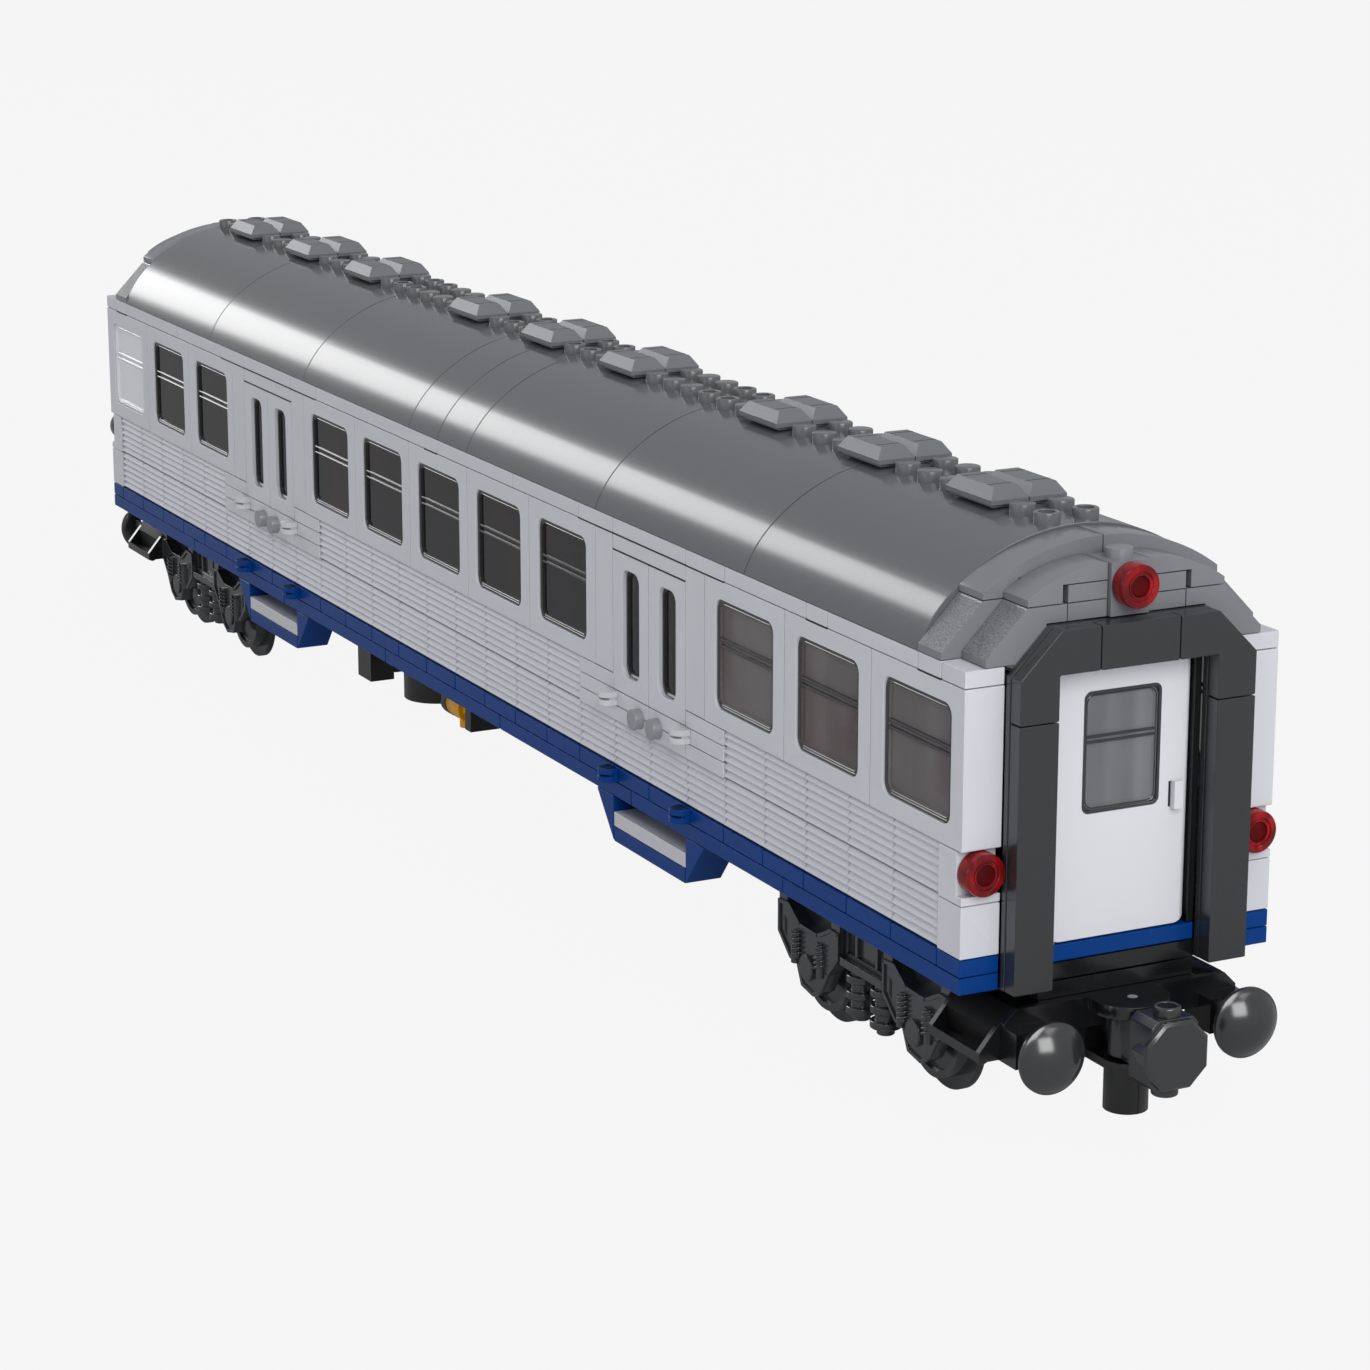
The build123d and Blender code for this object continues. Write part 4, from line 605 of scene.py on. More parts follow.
WINDOW_W, WINDOW_H, WINDOW_Z = 23.2, 21.5, (level(8) + level(17)) / 2
LEAF_W, LEAF_H, LEAF_Z = 7.6, 21.9, BAND_Z + 37.0
DOOR_W, DOOR_H, DOOR_Z, DOOR_FACE = 15.7, 21.8, BAND_Z + 40.1, HALF_L - 0.4
PANE_R, PANE_PLAY, PANE_THICK, PANE_EDGE = 2.3, 0.12, 1.2, 0.3
MIDDLE_DROP, MIDDLE_SLOPE = 0.45, 0.35
TRIM_RISE, TRIM_INSET = 0.05, 0.02
TRIM_EDGE_W, TRIM_EDGE_H, TRIM_ROOT, TRIM_MIN_R = 0.07, 0.06, 0.2, 0.25
BROAD_SHARE, GROOVE_SHARE, NARROW_SHARE, BAR_END_SHARE = 0.55, 0.75, 0.3, 0.7
BAR_RISE, BAR_PITCH_SHARE = 2.15, 2.2
BAR_SECTION = ((0.6, -0.5), (0.12, -0.4), (0.04, -0.2), (0.04, 0.2), (0.12, 0.4), (0.6, 0.5))


def pane_rings(width, height, depth, rim):
    """Depths and outlines of a clear moulding with a bevelled, raised rim round its flat middle."""
    def ring(inset):
        return rounded(width - 2 * inset, height - 2 * inset, max(PANE_R - inset, PANE_EDGE))
    return [
        (depth + PANE_THICK, ring(0.0)), (depth + PANE_EDGE, ring(0.0)), (depth, ring(PANE_EDGE)),
        (depth, ring(rim)), (depth + MIDDLE_DROP, ring(rim + MIDDLE_SLOPE)),
    ]


def trim_rings(width, height, depth, inset, breadth):
    """Depths and outlines of one raised line that runs round a pane."""
    inner = breadth - TRIM_EDGE_W
    section = [(0.0, TRIM_ROOT), (0.0, TRIM_EDGE_H), (TRIM_EDGE_W, 0.0)]
    section += [(inner, 0.0), (breadth, TRIM_EDGE_H), (breadth, TRIM_ROOT)]
    rings = []
    for across, down in section:
        edge = inset + across
        corner = max(PANE_R - edge, TRIM_MIN_R)
        rings.append((depth + down, rounded(width - 2 * edge, height - 2 * edge, corner)))
    return rings


def pane(form, trim, axis, sign, face, u, v, width, height, bars=True, depth=0.5, rim=0.95, bar=0.6):
    """One pane with its raised lines and its double bar; sign tells which way out of the wall is."""
    put = AXES[axis]

    def placed(rings):
        return [[put(face - sign * a, u + p, v + q) for p, q in points] for a, points in rings]

    width, height = width - PANE_PLAY, height - PANE_PLAY
    form.loft(placed(pane_rings(width, height, depth + TRIM_RISE, rim)))
    lines = ((TRIM_INSET, rim * BROAD_SHARE), (rim * GROOVE_SHARE, rim * NARROW_SHARE))
    for inset, breadth in lines:
        trim.loft(placed(trim_rings(width, height, depth - TRIM_RISE, inset, breadth)), closed=True)
    if bars:
        half = width / 2 - rim * BAR_END_SHARE
        for n in (-0.5, 0.5):
            z = v + BAR_RISE + n * BAR_PITCH_SHARE * bar
            section = [(face - sign * (depth + a), z + q * bar) for a, q in BAR_SECTION]
            trim.loft([[put(a, s, q) for a, q in section] for s in (u - half, u + half)])


def side_windows():
    """Panes of both side walls; the three by the near end are paler than the rest: painted light and shade.
    """
    for side, sign in SIDES:
        pale, shaded, trim = Form(), Form(), Form()
        wall = ("Y", sign, sign * FACE)
        for start in WINDOWS:
            # painted light and shade: near panes paler, the rest darker
            form = pale if start < DOORS[0] else shaded
            pane(form, trim, *wall, along(start + 2), WINDOW_Z, WINDOW_W, WINDOW_H)
        for door in DOORS:
            for stud in (1, 3):
                x = along(door + stud)
                pane(shaded, trim, *wall, x, LEAF_Z, LEAF_W, LEAF_H, bars=False, depth=1.0, rim=0.6)
        pale.build(f"panes_{side}", SMOKE, "body", hides=(f"window_glass_{side}",))
        shaded.build(f"shaded_panes_{side}", SMOKE_SHADED, "body")
        trim.build(f"pane_rims_{side}", RIM, "body")
    form, trim = Form(), Form()
    for sign in SIGNS:
        pane(form, trim, "Y", sign, sign * FACE, along(FROSTED + 2), WINDOW_Z, WINDOW_W, WINDOW_H)
    form.build("panes_frosted", FROST, "body", hides=("frosted_glass",))
    trim.build("pane_rims_frosted", FROST, "body")


SEAL_R, SEAL_MIN_R = 1.35, 0.8
SEAL_SECTION = ((-0.05, 0.1), (-0.05, -0.06), (0.0, -0.1), (0.42, -0.1), (0.5, -0.02), (0.5, 0.3))
HANDLE_SHADE_Y, HANDLE_SHADE_Z, HANDLE_SHADE_X = (9.9, 10.3), (BAND_Z + 28.3, BAND_Z + 32.9), (DOOR_FACE - 0.2, DOOR_FACE + 0.04)


def end_doors():
    """Pane, pane seal and a dark strip of painted shade beside the handle of each end door."""
    for end in ENDS:
        turned, body = end == "far", f"end_door_{end}"
        form, seal, shade_strip = Form(), Form(), Form()
        pane(form, seal, "X", 1, DOOR_FACE, 0.0, DOOR_Z, DOOR_W, DOOR_H, depth=0.35, rim=0.8, bar=0.45)
        form.build(f"door_pane_{end}", DOOR_SMOKE, body, turned, hides=(f"end_door_glass_{end}",))
        rings = []
        for inset, depth in SEAL_SECTION:
            around = rounded(DOOR_W - 2 * inset, DOOR_H - 2 * inset, max(SEAL_R - inset, SEAL_MIN_R))
            rings.append([(DOOR_FACE - depth, y, DOOR_Z + z) for y, z in around])
        seal.loft(rings, closed=True)
        seal.build(f"door_pane_rim_{end}", RIM, body, turned)
        # painted shade: a thin dark strip for the shaded side of the handle
        shade_strip.box(*HANDLE_SHADE_X, *HANDLE_SHADE_Y, *HANDLE_SHADE_Z)
        shade_strip.build(f"handle_shade_{end}", GAP_SHADE, body, turned)


# Clips, knobs and gaps of the side walls

CLIP_REACH, CLIP_R, CLIP_SLOT = 1.05, 2.24, 0.44
ROOT_REACH, ROOT_L, ROOT_H = 0.6, 3.8, 0.6
KNOB_STUDS, KNOB_Z = (1.5, 2.5), BAND_Z + 19.0
KNOB_PROFILE = ((0.0, 2.1), (1.65, 2.1), (1.83, 2.03), (1.9, 1.85))     # out of the wall, radius


def clip(form, x, plate, sign):
    """A rounded clip, one plate high, with a level slot between its jaws."""
    front = FACE + CLIP_REACH
    z0, z1 = level(plate) + SEAM, level(plate + 1) - SEAM
    middle = (z0 + z1) / 2
    for low, high in ((z0, middle - CLIP_SLOT / 2), (middle + CLIP_SLOT / 2, z1)):
        points = [(x + u, sign * (front + v)) for u, v in arc(0.0, 0.0, CLIP_R, 0, 180, steps=18)]
        points += [(x - CLIP_R, sign * FACE), (x + CLIP_R, sign * FACE)]
        form.prism("Z", low, high, points)
    y0, y1 = sorted((sign * FACE, sign * (front + ROOT_REACH)))
    form.box(x - ROOT_L / 2, x + ROOT_L / 2, y0, y1, middle - ROOT_H / 2, middle + ROOT_H / 2)


def clips_and_knobs():
    grey, blue, knobs = Form(), Form(), Form()
    for sign in SIGNS:
        for door in DOORS:
            for stud in (door, door + 4):
                clip(grey, along(stud), 6, sign)
                clip(blue, along(stud), 1, sign)
            for stud in KNOB_STUDS:
                profile = [(sign * (FACE + out), r) for out, r in KNOB_PROFILE]
                knobs.lathe("Y", along(door + stud), KNOB_Z, profile, steps=40)
    grey.build("clips_grey", LIGHT, "body", edge=0.12, hides=("door_clips",))
    blue.build("clips_blue", BLUE, "body", edge=0.12)
    knobs.build("knobs", MID, "body", hides=("door_knobs",))


# First stud, last stud and plate course of each gap
GAP_RUNS = (
    (11, 19, 17), (37, 45, 17), (13, 17, 16), (39, 43, 16),
    (1, 2, 17), (6, 7, 17), (28, 28.9, 17), (54, 55, 17),
)
GAP_INSET, GAP_RISE, GAP_END, GAP_LOW, GAP_HIGH = 1.0, 0.015, 0.1, 0.2, 0.12


def dark_gaps():
    """Dark strips of painted shade in the wider gaps below some top tiles and above the door leaves."""
    form = Form()
    for sign in SIGNS:
        y0, y1 = sorted((sign * (FACE - GAP_INSET), sign * (FACE + GAP_RISE)))
        for first, last, course in GAP_RUNS:
            x0, x1, z = along(last) + GAP_END, along(first) - GAP_END, level(course)
            form.box(x0, x1, y0, y1, z - GAP_LOW, z + GAP_HIGH)
    form.build("wall_gaps", GAP_SHADE, "body")


# Lamps

LAMP_X, LAMP_Y, LAMP_Z = HALF_L + 1.6, 28.0, level(5) + 5.6
TOP_LAMP_X, TOP_LAMP_Z = HALF_L + 4.0, level(20) + 5.6
# Depth behind the lamp's face, and radius
LENS_PROFILE = (
    (3.2, 3.3), (3.0, 3.9), (0.35, 3.9), (0.1, 3.8), (0.0, 3.55), (0.0, 2.75), (0.3, 2.55), (0.3, 2.3),
    (0.12, 2.2), (0.12, 1.95), (0.7, 1.85),
)
# dark disc in the hollow middle, painted shade: depth behind the lamp's face, and radius
CORE_SHADE_PROFILE = ((0.75, 1.83), (0.5, 1.83), (0.4, 1.65))


def lamp_forms(lens, core_shade, x, y, z):
    """A round clear plate: bevelled rim, a ring groove and a hollow middle with a dark disc of painted shade.
    """
    lens.lathe("X", y, z, [(x - depth, r) for depth, r in LENS_PROFILE], steps=48)
    core_shade.lathe("X", y, z, [(x - depth, r) for depth, r in CORE_SHADE_PROFILE], steps=32)


def lamps():
    """Two low lamps and one at the top of each end; the far end's low ones are darker, painted shade."""
    for end in ENDS:
        turned = end == "far"
        lens, core_shade = Form(), Form()
        for sign in SIGNS:
            lamp_forms(lens, core_shade, LAMP_X, sign * LAMP_Y, LAMP_Z)
        # painted shade on the far end's low lamps
        lens.build(f"lamps_low_{end}", RED_IN_SHADE if turned else RED, "body", turned)
        core_shade.build(f"lamp_core_shades_low_{end}", RED_IN_SHADE if turned else RED_CORE_SHADE, "body", turned)
        lens, core_shade = Form(), Form()
        lamp_forms(lens, core_shade, TOP_LAMP_X, 0.0, TOP_LAMP_Z)
        top = lens.build(f"lamp_top_{end}", RED, "body", turned)
        core_shade.build(f"lamp_core_shade_top_{end}", RED_CORE_SHADE, "body", turned)
    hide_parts("end_lamps")


# Side frames and centre units of the bogies

PIVOT_X, AXLE_Z, FRAME_Y = 176.0, 11.4, 24.0
AXLE_SHIFT = 20.0       # distance of a wheelset from its bogie's pivot
AXLES = (PIVOT_X - AXLE_SHIFT, PIVOT_X + AXLE_SHIFT)
BOGIE_GAP, BOGIE_PLATE_T = 0.3, 2.9
BEAM_TOP = BAND_Z - BOGIE_GAP - BOGIE_PLATE_T - SEAM / 2

# Outline of a side frame, in shares of its half length and its drop
SIDE_SHARES = (
    (-1.0, 0.62), (-0.63, 0.64), (-0.44, 0.55), (-0.27, 0.47), (0.30, 0.46), (0.73, 0.61), (1.0, 0.60),
    (1.0, 0.30), (0.68, 0.05), (0.45, -0.20), (0.20, -0.30), (-0.20, -0.25), (-0.36, -0.02), (-0.59, -0.01),
    (-1.0, 0.24),
)
HOLDER_HALF_L, AXLE_DROP = 11.8, 16.9
RELIEF_ROOT, FRAME_RIM_H, FRAME_RIM_W, FRAME_RIM_MITRE, FRAME_MIDDLE = 0.3, 0.4, 0.75, 0.2, 4.0
SPRING_X, SPRING_LOW, SPRING_TURNS, SPRING_PITCH, SPRING_OUT = (-4.2, 4.6), 1.6, 5, 0.98, 0.05
COIL_R, COIL_WIRE, COIL_TILT = 1.15, 0.3, 0.45
SPRING_CORE_R, SPRING_CORE_Z = 0.9, (0.8, 6.3)
AXLE_BOX_R, AXLE_BOX_H, AXLE_BOX_EDGE = 2.55, 0.84, 0.25
FRAME_SLOT, FRAME_SLOT_RISE = ((-9.6, 7.8), (-8.6, 7.0), (-8.6, 3.6), (-9.6, 4.4)), 0.02
WEB_HALF_L, WEB_Y, WEB_LOW, WEB_SINK = 8.8, (20.75, 21.45), 5.6, 0.1
ARCH_R, ARCH_X, ARCH_Z, ARCH_H, ARCH_Y = 5.4, 1.0, 2.2, 1.1, (FRAME_Y - 2.2, FRAME_Y - 0.1)


def coil_turn(form, x, y, z, steps=20, sides=8):
    """One turn of a coil spring, tilted."""
    rings = []
    for i in range(steps):
        t = 2 * math.pi * i / steps
        middle = Vector((x + COIL_R * math.cos(t), y + COIL_R * math.sin(t), z + COIL_TILT * math.cos(t)))
        out = Vector((math.cos(t), math.sin(t), 0.0)) * COIL_WIRE
        ring = []
        for j in range(sides):
            s = 2 * math.pi * j / sides
            ring.append(tuple(middle + out * math.cos(s) + Vector((0, 0, COIL_WIRE * math.sin(s)))))
        rings.append(ring)
    form.loft(rings, closed=True)


def frame_rim(form, x_axle, sign):
    """A raised rim just inside the outline of a side frame."""
    points = [Vector((x_axle + a * HOLDER_HALF_L, AXLE_Z + b * AXLE_DROP)) for a, b in SIDE_SHARES]
    middle = Vector((x_axle, AXLE_Z + FRAME_MIDDLE))
    for p, q in zip(points, points[1:] + points[:1]):
        run = (q - p).normalized()
        inward = Vector((run.y, -run.x)) * FRAME_RIM_W
        if (middle - p).dot(inward) < 0:
            inward = -inward
        mitre = run * FRAME_RIM_MITRE
        corners = [p, q, q + inward - mitre, p + inward + mitre]
        y0, y1 = sign * (FRAME_Y - RELIEF_ROOT), sign * (FRAME_Y + FRAME_RIM_H)
        form.prism("Y", y0, y1, [(c.x, c.y) for c in corners])


def springs(form, x_axle, sign):
    """Two coil springs on a side frame."""
    for shift in SPRING_X:
        x = x_axle + shift
        for turn in range(SPRING_TURNS):
            z = AXLE_Z + SPRING_LOW + SPRING_PITCH * turn
            coil_turn(form, x, sign * (FRAME_Y + SPRING_OUT), z)
        form.lathe("Z", x, sign * FRAME_Y, [(AXLE_Z + z, SPRING_CORE_R) for z in SPRING_CORE_Z], steps=16)


def axle_box(form, x_axle, sign):
    """A round axle box with a bevelled face."""
    root, face = FRAME_Y - RELIEF_ROOT, FRAME_Y + AXLE_BOX_H
    profile = [(root, AXLE_BOX_R), (face - AXLE_BOX_EDGE, AXLE_BOX_R), (face, AXLE_BOX_R - AXLE_BOX_EDGE)]
    form.lathe("Y", x_axle, AXLE_Z, [(sign * a, r) for a, r in profile], steps=40)


def frame_inside(form, x_axle, sign):
    """The web behind a side frame, and the arch below its axle box."""
    y0, y1 = sorted(sign * y for y in WEB_Y)
    x0, x1 = x_axle - WEB_HALF_L, x_axle + WEB_HALF_L
    form.box(x0, x1, y0, y1, AXLE_Z + WEB_LOW, BEAM_TOP - WEB_SINK)
    arch = arc(x_axle + ARCH_X, AXLE_Z + ARCH_Z, ARCH_R, 200, 350, steps=12)
    for (ax, az), (bx, bz) in zip(arch, arch[1:]):
        strip = [(ax, az), (bx, bz), (bx, bz + ARCH_H), (ax, az + ARCH_H)]
        form.prism("Y", sign * ARCH_Y[0], sign * ARCH_Y[1], strip)


UNIT_HALF_L, UNIT_LOW, UNIT_RIM = 7.8, BAND_Z - 11.0, 0.9
UNIT_Y, RECESS_Y, LEDGE_Y, UNIT_BACK_Y = 23.0, 22.3, 24.2, 16.6
UNIT_FRAME_Y, POST_SHIFT, LEDGE_H = 22.2, 3.6, 1.6
CYLINDER_X, CYLINDER_Y, CYLINDER_FOOT = 4.5, 21.2, BAND_Z - 22.6
CYLINDER_R, RING_R, RING_EDGE, RING_H = 2.1, 3.0, 0.2, 1.6
RING_PLACES, RING_LIP, RING_ROUND = (1.3, 4.3, 7.4), 0.05, 0.25
THIN_TIP_R, THIN_R, THIN_EDGE, THIN_H = 1.5, 1.7, 0.2, 1.1


def cylinder_profile():
    """Heights and radii of a cylinder with a thin foot and three rings."""
    foot = CYLINDER_FOOT
    profile = [(foot, THIN_TIP_R), (foot + THIN_EDGE, THIN_R), (foot + THIN_H, THIN_R)]
    profile.append((foot + THIN_H, CYLINDER_R))
    for place in RING_PLACES:
        low, high = foot + place, foot + place + RING_H
        profile += [(low, CYLINDER_R), (low + RING_LIP, RING_R - RING_EDGE), (low + RING_ROUND, RING_R)]
        profile += [(high - RING_ROUND, RING_R), (high - RING_LIP, RING_R - RING_EDGE), (high, CYLINDER_R)]
    return profile + [(UNIT_LOW - LEDGE_H, CYLINDER_R)]


def centre_unit(form):
    """Panels with a framed recess, a ledge and ringed cylinders between the wheel holders."""
    x0, x1 = PIVOT_X - UNIT_HALF_L, PIVOT_X + UNIT_HALF_L
    posts = (x0, x0 + POST_SHIFT, x1 - POST_SHIFT - UNIT_RIM, x1 - UNIT_RIM)
    for sign in SIGNS:
        y0, y1 = sorted((sign * RECESS_Y, sign * UNIT_BACK_Y))
        form.box(x0, x1, y0, y1, UNIT_LOW, BEAM_TOP)
        y0, y1 = sorted((sign * UNIT_Y, sign * UNIT_FRAME_Y))
        form.box(x0, x1, y0, y1, BEAM_TOP - UNIT_RIM, BEAM_TOP)
        form.box(x0, x1, y0, y1, UNIT_LOW, UNIT_LOW + UNIT_RIM)
        for x in posts:
            form.box(x, x + UNIT_RIM, y0, y1, UNIT_LOW + UNIT_RIM, BEAM_TOP - UNIT_RIM)
        y0, y1 = sorted((sign * LEDGE_Y, sign * UNIT_BACK_Y))
        form.box(x0, x1, y0, y1, UNIT_LOW - LEDGE_H, UNIT_LOW)
        for x in (PIVOT_X - CYLINDER_X, PIVOT_X + CYLINDER_X):
            form.lathe("Z", x, sign * CYLINDER_Y, cylinder_profile(), steps=32)


def bogie_details():
    """Relief on the side frames, and the centre unit, of each bogie."""
    for end in ENDS:
        turned, body = end == "far", f"bogie_{end}"
        relief, slots, centre = Form(), Form(), Form()
        for x_axle in AXLES:
            for sign in SIGNS:
                frame_rim(relief, x_axle, sign)
                springs(relief, x_axle, sign)
                axle_box(relief, x_axle, sign)
                frame_inside(relief, x_axle, sign)
                # dark slots of painted shade on the side frames
                outline = [(x_axle + u, AXLE_Z + v) for u, v in FRAME_SLOT]
                y0, y1 = sign * (FRAME_Y - RELIEF_ROOT), sign * (FRAME_Y + FRAME_SLOT_RISE)
                slots.prism("Y", y0, y1, outline)
        relief.build(f"frame_relief_{end}", BOGIE_SHEEN, body, turned, edge=0.1)
        slots.build(f"frame_slots_{end}", GAP_SHADE, body, turned)
        centre_unit(centre)
        centre.build(f"centre_unit_{end}", BOGIE_SHEEN, body, turned, edge=0.15, hides=(f"bogie_centre_{end}",))


# Buffer beams

BUFFER_Y, BUFFER_Z, BUFFER_NECK_R = 20.0, BAND_Z - 9.5, 3.0
BUFFER_BACK_X, BUFFER_FACE_X = HALF_L + 6.0, HALF_L + 10.0
BUFFER_R, BUFFER_RIM, BUFFER_EDGE, DOME_H, DOME_STEPS = 6.5, 1.6, 0.8, 3.0, 16
BUFFER_ROUND, BUFFER_LIP = 0.25, 0.2
DOME_R = BUFFER_R - 0.35
DOME_TIP_R = 0.05
COUPLER_X, COUPLER_Z = HALF_L + 4.1, BAND_Z - 9.6
BEAM_FRONT = HALF_L + 2.0
TRAY_X = (HALF_L - 16.3, HALF_L + 0.7)
TRAY_BAR_R, TRAY_BAR_EDGE, TRAY_BAR_Y, TRAY_BAR_Z = 1.1, 0.2, 27.1, BAND_Z - 11.8
TRAY_LOW = BAND_Z - 11.4
# Outer and inner side of a step's sloping panel, as (y, z)
TRAY_OUTER = (
    (25.3, TRAY_LOW), (25.3, TRAY_LOW + 4.0), (24.1, BEAM_TOP - 2.4), (21.7, BEAM_TOP), (16.2, BEAM_TOP),
)
TRAY_INNER = (
    (16.2, BEAM_TOP - 0.3), (21.6, BEAM_TOP - 0.3), (23.9, BEAM_TOP - 2.6), (25.1, TRAY_LOW + 3.8),
    (25.1, TRAY_LOW),
)
DIMPLE_X, DIMPLE_R = COUPLER_X + 1.2, 0.9
# Height and radius of the dimple's side
DIMPLE_PROFILE = (
    (BEAM_TOP - 0.3, DIMPLE_R), (BEAM_TOP + 0.02, DIMPLE_R), (BEAM_TOP + 0.03, DIMPLE_R - 0.3),
)
# Bounds of the fine seam along a beam's top and of the one down its post, dark strips of painted shade
BEAM_SEAM = (COUPLER_X - 7.0, BEAM_FRONT, -0.12, 0.12, BEAM_TOP - 0.5, BEAM_TOP + 0.012)
POST_SEAM = (COUPLER_X + 3.95, COUPLER_X + 4.02, -0.1, 0.1, BAND_Z - 24.1, BAND_Z - 16.3)


def buffer_profile():
    """A neck, a rimmed disc and the low dome on it."""
    face, rim = BUFFER_FACE_X, BUFFER_FACE_X + BUFFER_RIM
    profile = [(BUFFER_BACK_X, BUFFER_NECK_R), (face, BUFFER_NECK_R), (face, BUFFER_R - BUFFER_EDGE)]
    profile += [(face + BUFFER_ROUND, BUFFER_R - BUFFER_ROUND), (face + BUFFER_EDGE, BUFFER_R)]
    profile += [(rim - BUFFER_LIP, BUFFER_R), (rim, DOME_R)]
    sphere = (DOME_R * DOME_R + DOME_H * DOME_H) / (2 * DOME_H)
    for i in range(1, DOME_STEPS):
        r = DOME_R * (1 - i / DOME_STEPS)
        profile.append((rim + DOME_H - sphere + math.sqrt(sphere * sphere - r * r), max(r, DOME_TIP_R)))
    return profile


def buffer_forms():
    """Buffers, and the fine pieces on the beam and its steps, of each bogie."""
    for end in ENDS:
        turned, body = end == "far", f"bogie_{end}"
        heads, bars, panels, dimple, seams = Form(), Form(), Form(), Form(), Form()
        x0, x1 = TRAY_X
        bar = [(x0, TRAY_BAR_R - TRAY_BAR_EDGE), (x0 + TRAY_BAR_EDGE, TRAY_BAR_R)]
        bar += [(x1 - TRAY_BAR_EDGE, TRAY_BAR_R), (x1, TRAY_BAR_R - TRAY_BAR_EDGE)]
        for sign in SIGNS:
            heads.lathe("X", sign * BUFFER_Y, BUFFER_Z, buffer_profile(), steps=64)
            bars.lathe("X", sign * TRAY_BAR_Y, TRAY_BAR_Z, bar, steps=24)
            panels.prism("X", x0, x1, [(sign * y, z) for y, z in TRAY_OUTER + TRAY_INNER])
        heads.build(f"buffer_heads_{end}", DARK_SHEEN, body, turned, smooth=40.0, hides=(f"buffers_{end}",))
        bars.build(f"tray_bars_{end}", BLACK, body, turned)
        panels.build(f"tray_panels_{end}", RECESS, body, turned)
        dimple.lathe("Z", DIMPLE_X, 0.0, DIMPLE_PROFILE, steps=24)
        dimple.build(f"boss_dimple_{end}", MID, body, turned)
        seams.box(*BEAM_SEAM)
        seams.box(*POST_SEAM)
        seams.build(f"beam_seams_{end}", GAP_SHADE, body, turned)


# Couplers

EYE_R, EYE_EDGE = 3.4, 0.2
COLLAR_LOW, COLLAR_T, BOSS_T, EYE_GAP = 16.2, 1.6, 2.3, 0.3
EYE_LOW, EYE_TOP = BAND_Z - COLLAR_LOW + COLLAR_T + EYE_GAP, BEAM_TOP - BOSS_T - EYE_GAP
ARM_HALF_W = 2.6
HOUSING_X, HOUSING_HALF_W, HOUSING_HALF_H, HOUSING_CUT = (HALF_L + 11.9, HALF_L + 18.6), 4.8, 6.4, 1.2
PLATE_FLAT, PLATE_CORNER, CORNER_SHARE = 6.2, 2.8, 0.41
PLATE_THICK, PLATE_EDGE = 0.9, 0.5
COUPLER_STUD_X = HALF_L + 16.0
COUPLER_STUD = ((0.0, 2.4), (1.48, 2.4), (1.7, 2.2), (1.7, 1.65), (0.4, 1.55))      # height, radius
PRONG = ((-4.6, 1.6), (-6.1, 0.7), (-4.6, -2.6))
PRONG_X = (HOUSING_X[1] - 4.2, HOUSING_X[1] - 0.2)
TAB = ((4.6, 1.5), (6.1, 1.2), (6.1, -1.2), (4.6, -1.5))
TAB_X = (HOUSING_X[1] - 3.4, HOUSING_X[1] - 0.6)


def octagon(inset):
    """The coupler's eight-sided face, drawn in by an inset."""
    f, c = PLATE_FLAT - inset, PLATE_CORNER - CORNER_SHARE * inset
    ring = [(f, c), (c, f), (-c, f), (-f, c), (-f, -c), (-c, -f), (c, -f), (f, -c)]
    return [(y, COUPLER_Z + z) for y, z in ring]


def coupler_forms():
    """Arm with an eye, housing with an open stud above and below, eight-sided face, prong and tab."""
    for end in ENDS:
        turned, form = end == "far", Form()
        eye = [(EYE_LOW, EYE_R - EYE_EDGE), (EYE_LOW + EYE_EDGE, EYE_R)]
        eye += [(EYE_TOP - EYE_EDGE, EYE_R), (EYE_TOP, EYE_R - EYE_EDGE)]
        form.lathe("Z", COUPLER_X, 0.0, eye, steps=40)
        back, front = HOUSING_X
        form.box(COUPLER_X, back, -ARM_HALF_W, ARM_HALF_W, EYE_LOW, EYE_TOP)
        y1, z1 = HOUSING_HALF_W, HOUSING_HALF_H
        y0, z0 = y1 - HOUSING_CUT, z1 - HOUSING_CUT
        housing = [(-y1, -z0), (-y0, -z1), (y0, -z1), (y1, -z0), (y1, z0), (y0, z1), (-y0, z1), (-y1, z0)]
        form.prism("X", back, front, [(y, COUPLER_Z + z) for y, z in housing])
        rim, wide, narrow = front + PLATE_THICK, octagon(0.0), octagon(PLATE_EDGE)
        form.outline("X", [(front, wide), (rim, wide), (rim + PLATE_EDGE, narrow)])
        for sign in SIGNS:
            face = COUPLER_Z + sign * HOUSING_HALF_H
            stud = [(face + sign * out, r) for out, r in COUPLER_STUD]
            form.lathe("Z", COUPLER_STUD_X, 0.0, stud, steps=36)
        form.prism("X", *PRONG_X, [(y, COUPLER_Z + z) for y, z in PRONG])
        form.prism("X", *TAB_X, [(y, COUPLER_Z + z) for y, z in TAB])
        form.build(f"coupling_{end}", DARK_SHEEN, f"coupler_{end}", turned, edge=0.15, hides=(f"coupler_{end}",))


roof()
roof_grooves()
vents()
side_windows()
end_doors()
clips_and_knobs()
dark_gaps()
lamps()
bogie_details()
buffer_forms()
coupler_forms()

SHARP_NODES = ("seats", "floor")
for node, material in materials.items():
    dress(node, material)
for node in nodes:
    if not node.startswith(SHARP_NODES):
        soften(nodes[node])


# Light and floor

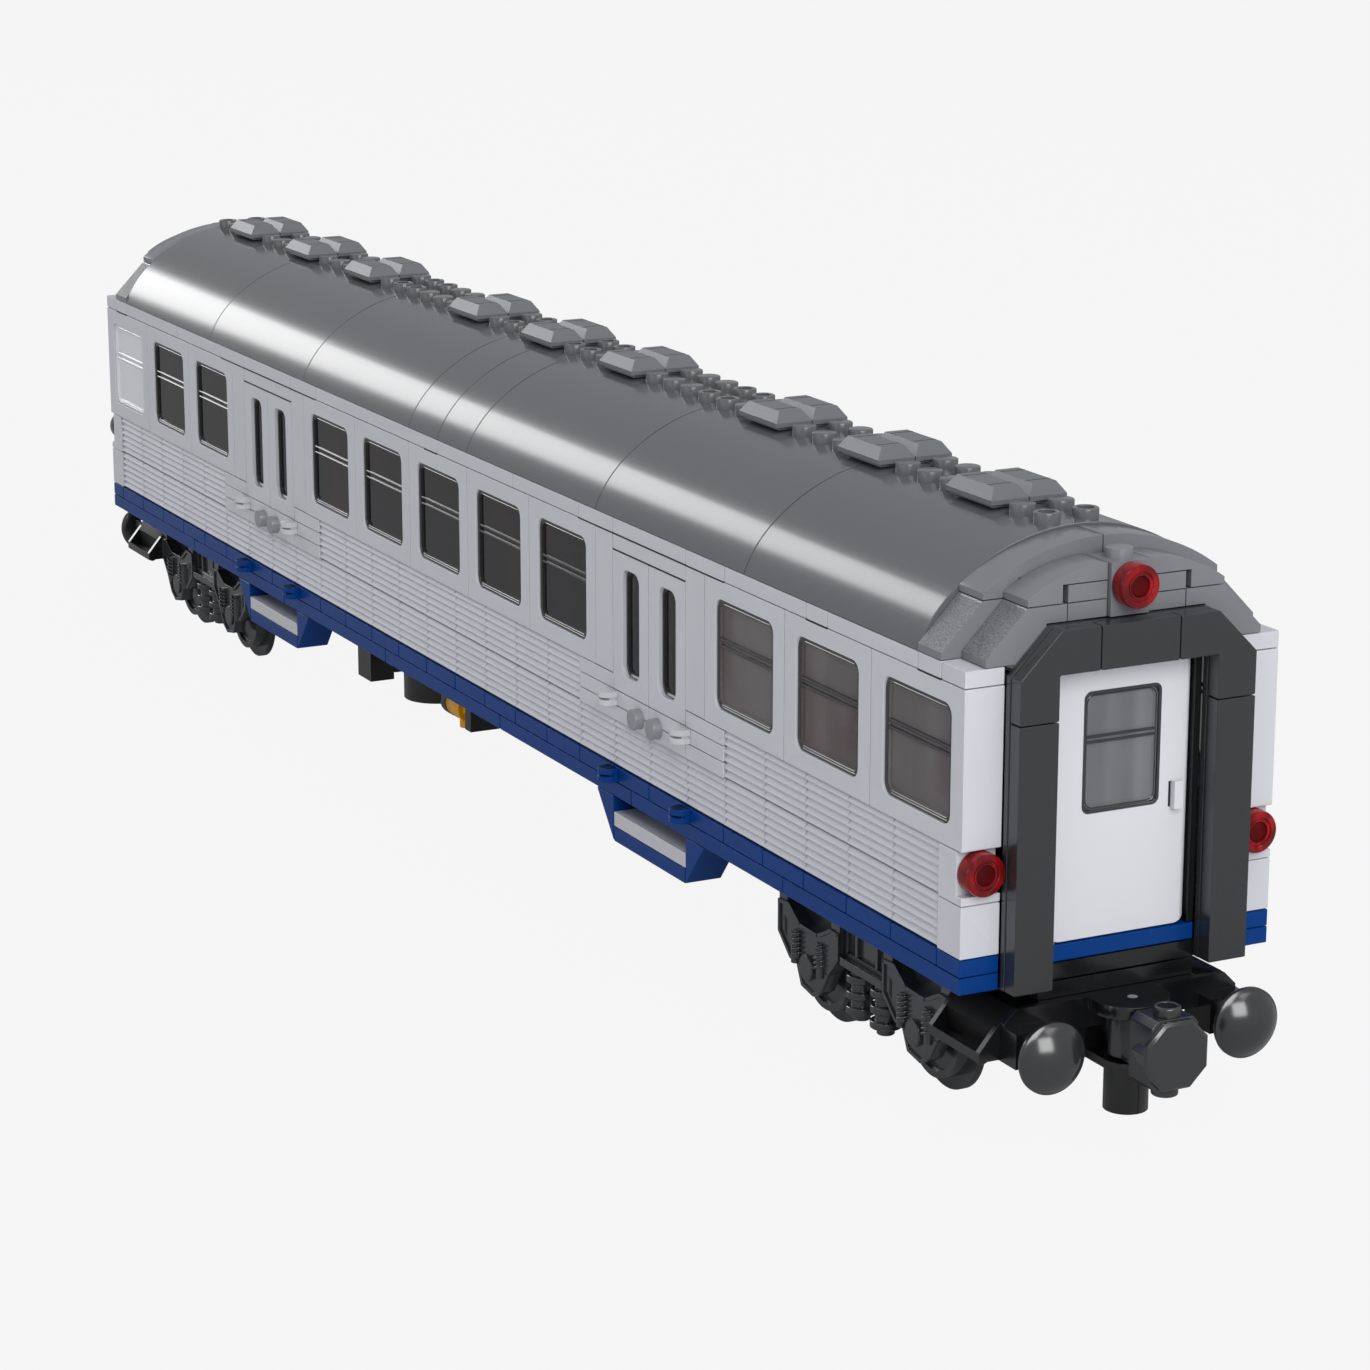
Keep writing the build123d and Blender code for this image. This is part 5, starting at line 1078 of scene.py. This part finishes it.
BACKGROUND = srgb("f6f6f6")
WORLD_TINT, WORLD_STRENGTH, WORLD_GLOSSY_SHARE = (0.93, 0.95, 1.0, 1), 0.34, 0.2
FLOOR_SIZE, FLOOR_TONE, FLOOR_GLOSSY_TONE = 8.0, srgb("f0f0f0"), srgb("a6a6a6")
FLOOR_GLOSSY_SHARE, FLOOR_GLOW_SHARE = 0.1, 0.985


def area_light(name, place, target, size, power, tilt=0.0):
    data = bpy.data.lights.new(name, "AREA")
    data.shape = "RECTANGLE"
    data.size, data.size_y = size
    data.energy = power
    light = bpy.data.objects.new(name, data)
    place, target = Vector(place), Vector(target)
    light.location = place
    aim = (target - place).to_track_quat("-Z", "Y").to_matrix() @ Matrix.Rotation(math.radians(tilt), 3, "Z")
    light.rotation_euler = aim.to_euler()
    bpy.context.scene.collection.objects.link(light)


def seen_rays(tree, glossy):
    """1 for camera and transmission rays, and a share for rays that a glossy surface sends out."""
    path = tree.nodes.new("ShaderNodeLightPath")
    clear = maths(tree, "MAXIMUM", path.outputs["Is Camera Ray"], path.outputs["Is Transmission Ray"])
    return maths(tree, "MAXIMUM", clear, maths(tree, "MULTIPLY", path.outputs["Is Glossy Ray"], glossy))


def mixed_shader(tree, factor, first, second):
    """A shader between two, by a factor."""
    mix = tree.nodes.new("ShaderNodeMixShader")
    for socket, source in enumerate((factor, first.outputs[0], second.outputs[0])):
        tree.links.new(source, mix.inputs[socket])
    return mix


def add_world():
    """A soft blue-white light all round, seen by the camera as the plain background."""
    world = bpy.data.worlds.new("world")
    bpy.context.scene.world = world
    world.use_nodes = True
    tree = world.node_tree
    tree.nodes.clear()
    out = tree.nodes.new("ShaderNodeOutputWorld")
    lit = tree.nodes.new("ShaderNodeBackground")
    lit.inputs["Color"].default_value = WORLD_TINT
    lit.inputs["Strength"].default_value = WORLD_STRENGTH
    seen = tree.nodes.new("ShaderNodeBackground")
    seen.inputs["Color"].default_value = BACKGROUND
    seen.inputs["Strength"].default_value = 1.0
    mix = mixed_shader(tree, seen_rays(tree, WORLD_GLOSSY_SHARE), lit, seen)
    tree.links.new(mix.outputs[0], out.inputs["Surface"])


def add_floor():
    """A pale floor, seen at the background's own level, that keeps a faint shadow and is clear from below."""
    bpy.ops.mesh.primitive_plane_add(size=FLOOR_SIZE, location=(0, 0, 0))
    floor = bpy.context.object
    floor.name = "floor_plane"
    material = bpy.data.materials.new("floor_pale")
    material.use_nodes = True
    tree = material.node_tree
    tree.nodes.clear()
    out = tree.nodes.new("ShaderNodeOutputMaterial")
    path = tree.nodes.new("ShaderNodeLightPath")
    diffuse = tree.nodes.new("ShaderNodeBsdfDiffuse")
    tone = blended(tree, path.outputs["Is Glossy Ray"], FLOOR_TONE, FLOOR_GLOSSY_TONE)
    tree.links.new(tone, diffuse.inputs["Color"])
    bright = tree.nodes.new("ShaderNodeEmission")
    bright.inputs["Color"].default_value = BACKGROUND
    share = maths(tree, "MULTIPLY", seen_rays(tree, FLOOR_GLOSSY_SHARE), FLOOR_GLOW_SHARE)
    above = mixed_shader(tree, share, diffuse, bright)
    side = tree.nodes.new("ShaderNodeNewGeometry")
    below = tree.nodes.new("ShaderNodeBsdfTransparent")
    faced = mixed_shader(tree, side.outputs["Backfacing"], above, below)
    tree.links.new(faced.outputs[0], out.inputs["Surface"])
    floor.data.materials.append(material)


# Lights: place and target in metres, size in metres, power in watts
CENTRE = (0.0, 0.0, 0.055)
add_world()
add_floor()
area_light("key", (1.5, -0.25, 0.9), CENTRE, (1.0, 1.0), 17.0)
area_light("fill", (0.1, -1.8, 0.5), CENTRE, (1.8, 0.5), 2.4)
area_light("strip", (-1.5, -0.48, 0.72), (0.0, -0.028, 0.097), (0.38, 1.05), 6.6, tilt=-30.0)
area_light("top", (0.6, 0.45, 1.5), (0.12, 0.0, 0.08), (1.1, 0.7), 4.6)

add_camera()
bpy.context.scene.view_settings.view_transform = "Standard"
bpy.context.view_layer.update()
